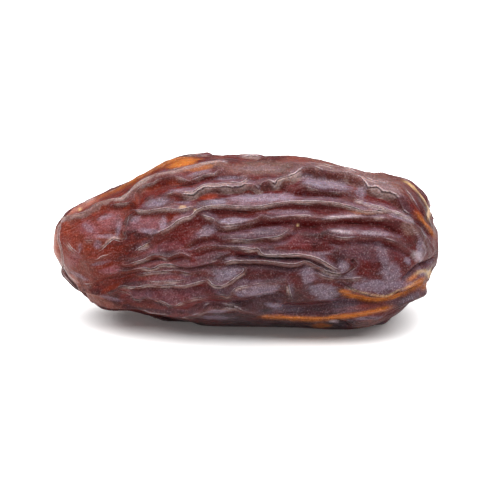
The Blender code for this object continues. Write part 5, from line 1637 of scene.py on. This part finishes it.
def laid_tint_group() -> bpy.types.NodeTree:
    """The group that lays a tint on a colour with ragged, grainy edges.

    Returns:
        The group, with the inputs Skin, Tint, Strength, Grain and Raggedness, and the output Color.
    """
    inputs = {"Skin": "Color", "Tint": "Color", "Strength": "Float", "Grain": "Float", "Raggedness": "Float"}
    group = new_group("laid_tint", inputs, {"Color": "Color"})
    kit = NodeKit(group)
    given = group.nodes.new("NodeGroupInput").outputs
    ragged = kit.sum("MULTIPLY", kit.sum("SUBTRACT", given["Grain"], MIDDLE_GRAIN), given["Raggedness"])
    share = kit.share("MULTIPLY", given["Strength"], kit.sum("ADD", ragged, 1.0))
    out = group.nodes.new("NodeGroupOutput")
    kit.feed(out.inputs["Color"], kit.mix(share, given["Skin"], given["Tint"]))
    return group


@dataclass(frozen=True)
class LineBand:
    """A band that is drawn beside a fine line, in millimetres.

    The middle is how far it runs above the line, the core half the width in which it is full, and the edge
    how far from its middle it ends.
    """

    middle: float
    core: float
    edge: float

    def drawn(self, kit: NodeKit, side: object, strength: object) -> bpy.types.NodeSocket:
        """How strongly the band shows.

        Args:
            kit: The nodes to draw it with.
            side: How far above the line the skin lies.
            strength: How strongly the band shows in its core.

        Returns:
            The strength at each place.
        """
        off = kit.sum("ABSOLUTE", kit.sum("SUBTRACT", side, self.middle))
        return kit.share("MULTIPLY", kit.ramp(off, self.core, self.edge, 1.0, 0.0), strength)


# The bands of a fine line: its pale lower side, a painted highlight on its upper edge, painted shade in its
# core, the lip that lifts the skin and the groove that sinks it. The spans are how worn a line is where a band
# starts to show and is full.
PALE_SIDE = LineBand(-0.14, 0.1, 0.3)
PAINTED_EDGE_HIGHLIGHT = LineBand(0.18, 0.0, 0.1)
PAINTED_CORE_SHADE = LineBand(0.07, 0.01, 0.1)
RAISED_LIP = LineBand(0.0, 0.1, 0.35)
GROOVE = LineBand(0.07, 0.0, 0.12)
PALE_WHEN_WORN = (0.3, 0.95)
EDGE_HIGHLIGHT_WHEN_WORN = (0.0, 0.75)


def fine_line_group() -> bpy.types.NodeTree:
    """The group that draws a fine line from how far off it runs.

    Returns:
        The group, with the inputs Side, in millimetres, and Worn, and one output for each of LINE_SHARES.
    """
    group = new_group("fine_line", {"Side": "Float", "Worn": "Float"}, dict.fromkeys(LINE_SHARES, "Float"))
    kit = NodeKit(group)
    given = group.nodes.new("NodeGroupInput").outputs
    out = group.nodes.new("NodeGroupOutput")
    side, worn = given["Side"], given["Worn"]
    depth = kit.sum("ABSOLUTE", worn)
    shares = (
        PALE_SIDE.drawn(kit, side, kit.ramp(worn, *PALE_WHEN_WORN)),
        PAINTED_EDGE_HIGHLIGHT.drawn(kit, side, kit.ramp(worn, *EDGE_HIGHLIGHT_WHEN_WORN)),
        PAINTED_CORE_SHADE.drawn(kit, side, depth),
        kit.sum("SUBTRACT", RAISED_LIP.drawn(kit, side, worn), GROOVE.drawn(kit, side, depth)),
    )
    for name, share in zip(LINE_SHARES, shares):
        kit.feed(out.inputs[name], share)
    return group


@dataclass(frozen=True)
class DateSkinFinish:
    """The thin, glossy, waxy skin: deep reddish brown, lavender with wax and painted sheen, and tan where it is
    worn.

    Colours are as seen on a screen, 0 to 255, but for the shadow's, which is light. A span carries its two
    numbers to 0 and 1, and a ramp its first two to its last two.
    """

    dark: Colour = (48, 8, 7)
    light: Colour = (80, 18, 15)
    # Pale grain with painted glints, laid on the wax and sheen and on the worn crests.
    dots: Colour = (156, 140, 144)
    shadow: tuple[float, ...] = (0.30, 0.20, 0.20, 1)
    fibre: Grain = Grain(2600, 3, 0.6)
    fibre_stretch: tuple[float, float, float] = (0.3, 1.0, 1.0)
    mottle: Grain = Grain(160, 4, 0.6)
    speckle: Grain = Grain(4200, 2, 0.7)
    grain: Grain = Grain(1500, 3, 0.65)
    mottled: Span = (0.35, 0.65)
    dotted: Span = (0.52, 0.74)
    dots_on_wax: Ramp = (0.1, 0.8, 0.2, 0.42)
    dots_raggedness: float = 0.3
    shadow_fibre: float = 0.35
    shadow_speckle: float = 0.65
    shadowed: Ramp = (0.60, 0.34, 0.0, 0.7)
    roughness: Ramp = (0.3, 0.7, 0.30, 0.55)
    rough_bloom: float = 0.12
    rough_crest: float = 0.18
    bump_distance: float = 0.00016
    bump_speckle: float = 0.30
    bump_grain: float = 0.35
    bump_fibre: float = 0.35
    specular: float = 0.12
    subsurface: float = 0.2
    subsurface_radius: tuple[float, float, float] = (1.0, 0.22, 0.08)
    subsurface_scale: float = 0.0007
    line_sway: float = 0.22

    # Each tint's colour, how much of it shows at full strength, and how ragged its edges are.
    TINTS = (
        # Painted shade.
        (Tint.PAINTED_SHADE, (70, 6, 4), 0.95, 0.4),
        (Tint.EMBER, (112, 38, 8), 0.75, 0.9),
        (Tint.ROSE, (152, 98, 84), 0.85, 0.6),
        # Painted shade of the underside.
        (Tint.PAINTED_UNDERSIDE_SHADE, (40, 32, 35), 0.85, 0.5),
        (Tint.MAUVE, (124, 76, 84), 0.8, 1.4),
        # Lavender wax with painted sheen.
        (Tint.BLOOM, (120, 108, 122), 0.72, 1.2),
        (Tint.CREST, (120, 96, 88), 0.7, 0.9),
        (Tint.AMBER, (156, 88, 28), 0.9, 0.7),
        # Painted highlight.
        (Tint.PAINTED_HIGHLIGHT, (176, 162, 170), 0.85, 0.9),
        # Dry pale spots and painted rim highlights.
        (Tint.CREAM, (196, 164, 118), 0.9, 1.2),
    )
    # The same for the fine lines' pale worn side, painted highlight on the edge and painted shade in the core.
    LINE_TINTS = (
        ((152, 130, 126), 0.7, 1.2),
        ((186, 168, 168), 0.62, 1.8),
        ((26, 12, 12), 0.75, 0.6),
    )

    def build(self) -> bpy.types.Material:
        """Makes the material.

        Returns:
            The material.
        """
        finish = bpy.data.materials.new("date_skin_fine")
        finish.use_nodes = True
        shader = finish.node_tree.nodes["Principled BSDF"]
        kit = NodeKit(finish.node_tree)
        place = kit.add("ShaderNodeTexCoord").outputs["Object"]
        stretched = kit.add("ShaderNodeVectorMath", {"operation": "MULTIPLY"})
        kit.feed(stretched.inputs[0], place)
        kit.feed(stretched.inputs[1], self.fibre_stretch)
        fibre = kit.noise(stretched.outputs[0], self.fibre)
        speckle = kit.noise(place, self.speckle)
        grain = kit.noise(place, self.grain)
        *bands, height = self.fine_lines(kit, grain)
        colour = self.tinted(kit, place, grain, speckle, bands)
        shaded = kit.share(
            "ADD",
            kit.share("MULTIPLY", fibre, self.shadow_fibre),
            kit.share("MULTIPLY", speckle, self.shadow_speckle),
        )
        colour = kit.mix(kit.ramp(shaded, *self.shadowed), colour, self.shadow, "MULTIPLY")
        kit.feed(shader.inputs["Base Color"], colour)
        dulled = kit.share("MULTIPLY", kit.tint(Tint.BLOOM), self.rough_bloom)
        worn = kit.share("MULTIPLY", kit.tint(Tint.CREST), self.rough_crest)
        rough = kit.share("ADD", kit.share("ADD", dulled, worn), kit.ramp(speckle, *self.roughness))
        kit.feed(shader.inputs["Roughness"], rough)
        fine = kit.share(
            "ADD",
            kit.share("MULTIPLY", speckle, self.bump_speckle),
            kit.share("MULTIPLY", grain, self.bump_grain),
        )
        fine = kit.share("ADD", fine, kit.share("MULTIPLY", fibre, self.bump_fibre))
        bump = kit.add(
            "ShaderNodeBump", Strength=1.0, Distance=self.bump_distance, Height=kit.sum("ADD", fine, height)
        )
        kit.feed(shader.inputs["Normal"], bump.outputs["Normal"])
        kit.feed(shader.inputs["Specular IOR Level"], self.specular)
        kit.feed(shader.inputs["Subsurface Weight"], self.subsurface)
        kit.feed(shader.inputs["Subsurface Radius"], self.subsurface_radius)
        kit.feed(shader.inputs["Subsurface Scale"], self.subsurface_scale)
        return finish

    def tinted(
        self,
        kit: NodeKit,
        place: bpy.types.NodeSocket,
        grain: bpy.types.NodeSocket,
        speckle: bpy.types.NodeSocket,
        bands: list[bpy.types.NodeSocket],
    ) -> bpy.types.NodeSocket:
        """Lays the tints, the fine lines and the pale dots of grain and painted glints on the mottled skin.

        Args:
            kit: The material's nodes.
            place: Where on the fruit the skin lies.
            grain: Noise that makes edges ragged.
            speckle: Noise that the dots come from.
            bands: How strongly the fine lines' bands show.

        Returns:
            The colour.
        """
        group = laid_tint_group()

        def lay(under: object, shade: Colour, strength: object, raggedness: float) -> bpy.types.NodeSocket:
            """Lays a tint on a colour."""
            laid = kit.add("ShaderNodeGroup", {"node_tree": group}, Skin=under, Tint=linear(*shade))
            kit.feed(laid.inputs["Strength"], strength)
            kit.feed(laid.inputs["Grain"], grain)
            kit.feed(laid.inputs["Raggedness"], raggedness)
            return laid.outputs["Color"]

        mottle = kit.ramp(kit.noise(place, self.mottle), *self.mottled)
        colour = kit.mix(mottle, linear(*self.dark), linear(*self.light))
        for tint, shade, most, raggedness in self.TINTS:
            colour = lay(colour, shade, kit.share("MULTIPLY", kit.tint(tint), most), raggedness)
        for band, (shade, most, raggedness) in zip(bands, self.LINE_TINTS):
            colour = lay(colour, shade, kit.share("MULTIPLY", band, most), raggedness)
        # Pale grain with painted glints where the skin is lavender or worn.
        pale_share = kit.share("MAXIMUM", kit.tint(Tint.BLOOM), kit.tint(Tint.CREST))
        dots = kit.share("MULTIPLY", kit.ramp(speckle, *self.dotted), kit.ramp(pale_share, *self.dots_on_wax))
        return lay(colour, self.dots, dots, self.dots_raggedness)

    def fine_lines(self, kit: NodeKit, grain: bpy.types.NodeSocket) -> list[bpy.types.NodeSocket]:
        """Draws all sheets of fine lines, a little ragged.

        Args:
            kit: The material's nodes.
            grain: Noise that makes the lines ragged.

        Returns:
            How pale the lines make the skin, how much painted highlight and shade they lay, and how far they
            lift it.
        """
        group = fine_line_group()
        ragged = kit.sum("MULTIPLY_ADD", grain, self.line_sway, -self.line_sway / 2)
        totals: list[bpy.types.NodeSocket] = []
        for vector in range(LineSheets.SHEETS // LineSheets.PER_VECTOR):
            parts = []
            for name in ("side", "worn"):
                kept = kit.add("ShaderNodeAttribute", {"attribute_name": f"line_{name}_{vector}"})
                parts.append(kit.add("ShaderNodeSeparateXYZ", Vector=kept.outputs["Vector"]))
            for axis in range(LineSheets.PER_VECTOR):
                side = kit.sum("ADD", parts[0].outputs[axis], ragged)
                worn = parts[1].outputs[axis]
                line = kit.add("ShaderNodeGroup", {"node_tree": group}, Side=side, Worn=worn)
                shares = [line.outputs[name] for name in LINE_SHARES]
                if totals:
                    height = kit.sum("ADD", totals[-1], shares[-1])
                    totals = [kit.share("MAXIMUM", *pair) for pair in zip(totals[:-1], shares[:-1])]
                    totals.append(height)
                else:
                    totals = shares
        return totals


@dataclass(frozen=True)
class WhitePaper:
    """The matt, nearly white paper of the floor, with a faint glow that keeps it white."""

    colour: tuple[float, ...] = (0.9, 0.9, 0.9, 1)
    roughness: float = 0.9
    specular: float = 0.1
    glow: tuple[float, ...] = (1.0, 0.9, 0.9, 1)
    glow_strength: float = 0.06

    def build(self) -> bpy.types.Material:
        """Makes the material.

        Returns:
            The material.
        """
        paper = bpy.data.materials.new("white_paper")
        paper.use_nodes = True
        inputs = paper.node_tree.nodes["Principled BSDF"].inputs
        inputs["Base Color"].default_value = self.colour
        inputs["Roughness"].default_value = self.roughness
        inputs["Specular IOR Level"].default_value = self.specular
        inputs["Emission Color"].default_value = self.glow
        inputs["Emission Strength"].default_value = self.glow_strength
        return paper


@dataclass
class Date:
    """The fruit itself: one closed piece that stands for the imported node."""

    skin: FruitSkin = field(default_factory=FruitSkin)
    finish: DateSkinFinish = field(default_factory=DateSkinFinish)

    def build(self) -> bpy.types.Object:
        """Makes the wrinkled fruit, with its tints as numbers at its points.

        Returns:
            The fruit.
        """
        mesh = bmesh.new()
        grid = SkinGrid(self.skin.body)
        grid.add_to(mesh)
        self.skin.lay(grid)
        for vert, place in zip(mesh.verts, self.skin.stood_out()):
            vert.co = place
        if mesh.calc_volume(signed=True) < 0:
            bmesh.ops.reverse_faces(mesh, faces=mesh.faces)
        data = bpy.data.meshes.new("wrinkled_date")
        mesh.to_mesh(data)
        mesh.free()
        for tint, strength in self.skin.tints.items():
            kept = data.attributes.new(tint.value, "FLOAT", "POINT")
            kept.data.foreach_set("value", strength.astype(np.float32))
        self.skin.line_sheets.store(data)
        data.shade_smooth()
        self.piece = bpy.data.objects.new("wrinkled_date", data)
        bpy.context.scene.collection.objects.link(self.piece)
        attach(self.piece, "root")
        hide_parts("date")
        return self.piece

    def dress(self) -> None:
        """Gives the fruit its finish."""
        self.piece.data.materials.append(self.finish.build())


@dataclass
class Studio:
    """A pale floor, soft light from above, white surroundings, and the camera of the picture. In metres."""

    floor_reach: float = 1.5
    paper: WhitePaper = field(default_factory=WhitePaper)
    lamp_place: tuple[float, float, float] = (0.0, -0.02, 0.27)
    lamp_size: tuple[float, float] = (0.75, 0.42)
    lamp_power: float = 4.7
    camera_distance: float = 0.3125
    camera_lens: float = 150.0
    camera_sensor: float = 36
    camera_elevation: float = 20.0
    axis: tuple[float, float, float] = (0.0, 0.0006, 0.0118)
    room_light: float = 0.25
    nudge_right: float = 0.000675
    nudge_up: float = -0.0009

    def build(self) -> None:
        """Makes the floor, the light, the surroundings and the camera."""
        self.add_floor()
        self.add_softbox()
        self.add_surroundings()
        self.add_camera()
        bpy.context.scene.view_settings.view_transform = "Standard"

    def add_floor(self) -> None:
        """Makes the pale floor."""
        mesh = bmesh.new()
        bmesh.ops.create_grid(mesh, x_segments=1, y_segments=1, size=self.floor_reach)
        data = bpy.data.meshes.new("floor")
        mesh.to_mesh(data)
        mesh.free()
        data.materials.append(self.paper.build())
        floor = bpy.data.objects.new("floor", data)
        bpy.context.scene.collection.objects.link(floor)

    def add_softbox(self) -> None:
        """Hangs a soft light, wider than deep, that is aimed at the fruit."""
        lamp = bpy.data.lights.new("overhead", "AREA")
        lamp.shape = "RECTANGLE"
        lamp.size, lamp.size_y = self.lamp_size
        lamp.energy = self.lamp_power
        hung = bpy.data.objects.new("overhead", lamp)
        hung.location = self.lamp_place
        aim = Vector(self.axis) - Vector(self.lamp_place)
        hung.rotation_euler = aim.to_track_quat("-Z", "Y").to_euler()
        bpy.context.scene.collection.objects.link(hung)

    def add_surroundings(self) -> None:
        """Surrounds the scene with even white light."""
        world = bpy.data.worlds.new("white_room")
        world.use_nodes = True
        kit = NodeKit(world.node_tree)
        seen = kit.add("ShaderNodeLightPath").outputs["Is Camera Ray"]
        backdrop = world.node_tree.nodes["Background"]
        backdrop.inputs["Color"].default_value = (1, 1, 1, 1)
        kit.feed(backdrop.inputs["Strength"], kit.ramp(seen, 0.0, 1.0, self.room_light, 1.0))
        bpy.context.scene.world = world

    def add_camera(self) -> None:
        """Stands the camera where the picture was taken from."""
        rise = math.radians(self.camera_elevation)
        back = Vector((0, -math.cos(rise), math.sin(rise)))
        up = Vector((0, math.sin(rise), math.cos(rise)))
        aim = Vector(self.axis) + Vector((self.nudge_right, 0, 0)) + up * self.nudge_up
        seen = bpy.data.cameras.new("picture")
        seen.lens = self.camera_lens
        seen.sensor_width = self.camera_sensor
        camera = bpy.data.objects.new("picture", seen)
        camera.location = aim + back * self.camera_distance
        camera.rotation_euler = (-back).to_track_quat("-Z", "Y").to_euler()
        bpy.context.scene.collection.objects.link(camera)
        bpy.context.scene.camera = camera


def main() -> None:
    """Builds the fruit and its studio, and reports each."""
    logging.basicConfig(level=logging.INFO, format="%(name)s: %(message)s")
    date = Date()
    piece = date.build()
    log.info("%s: %d points, %d faces", piece.name, len(piece.data.vertices), len(piece.data.polygons))
    date.dress()
    log.info("%s: finish %s", piece.name, piece.data.materials[0].name)
    Studio().build()
    log.info("studio: floor, softbox, surroundings and camera")


if __name__ == "__main__":
    main()
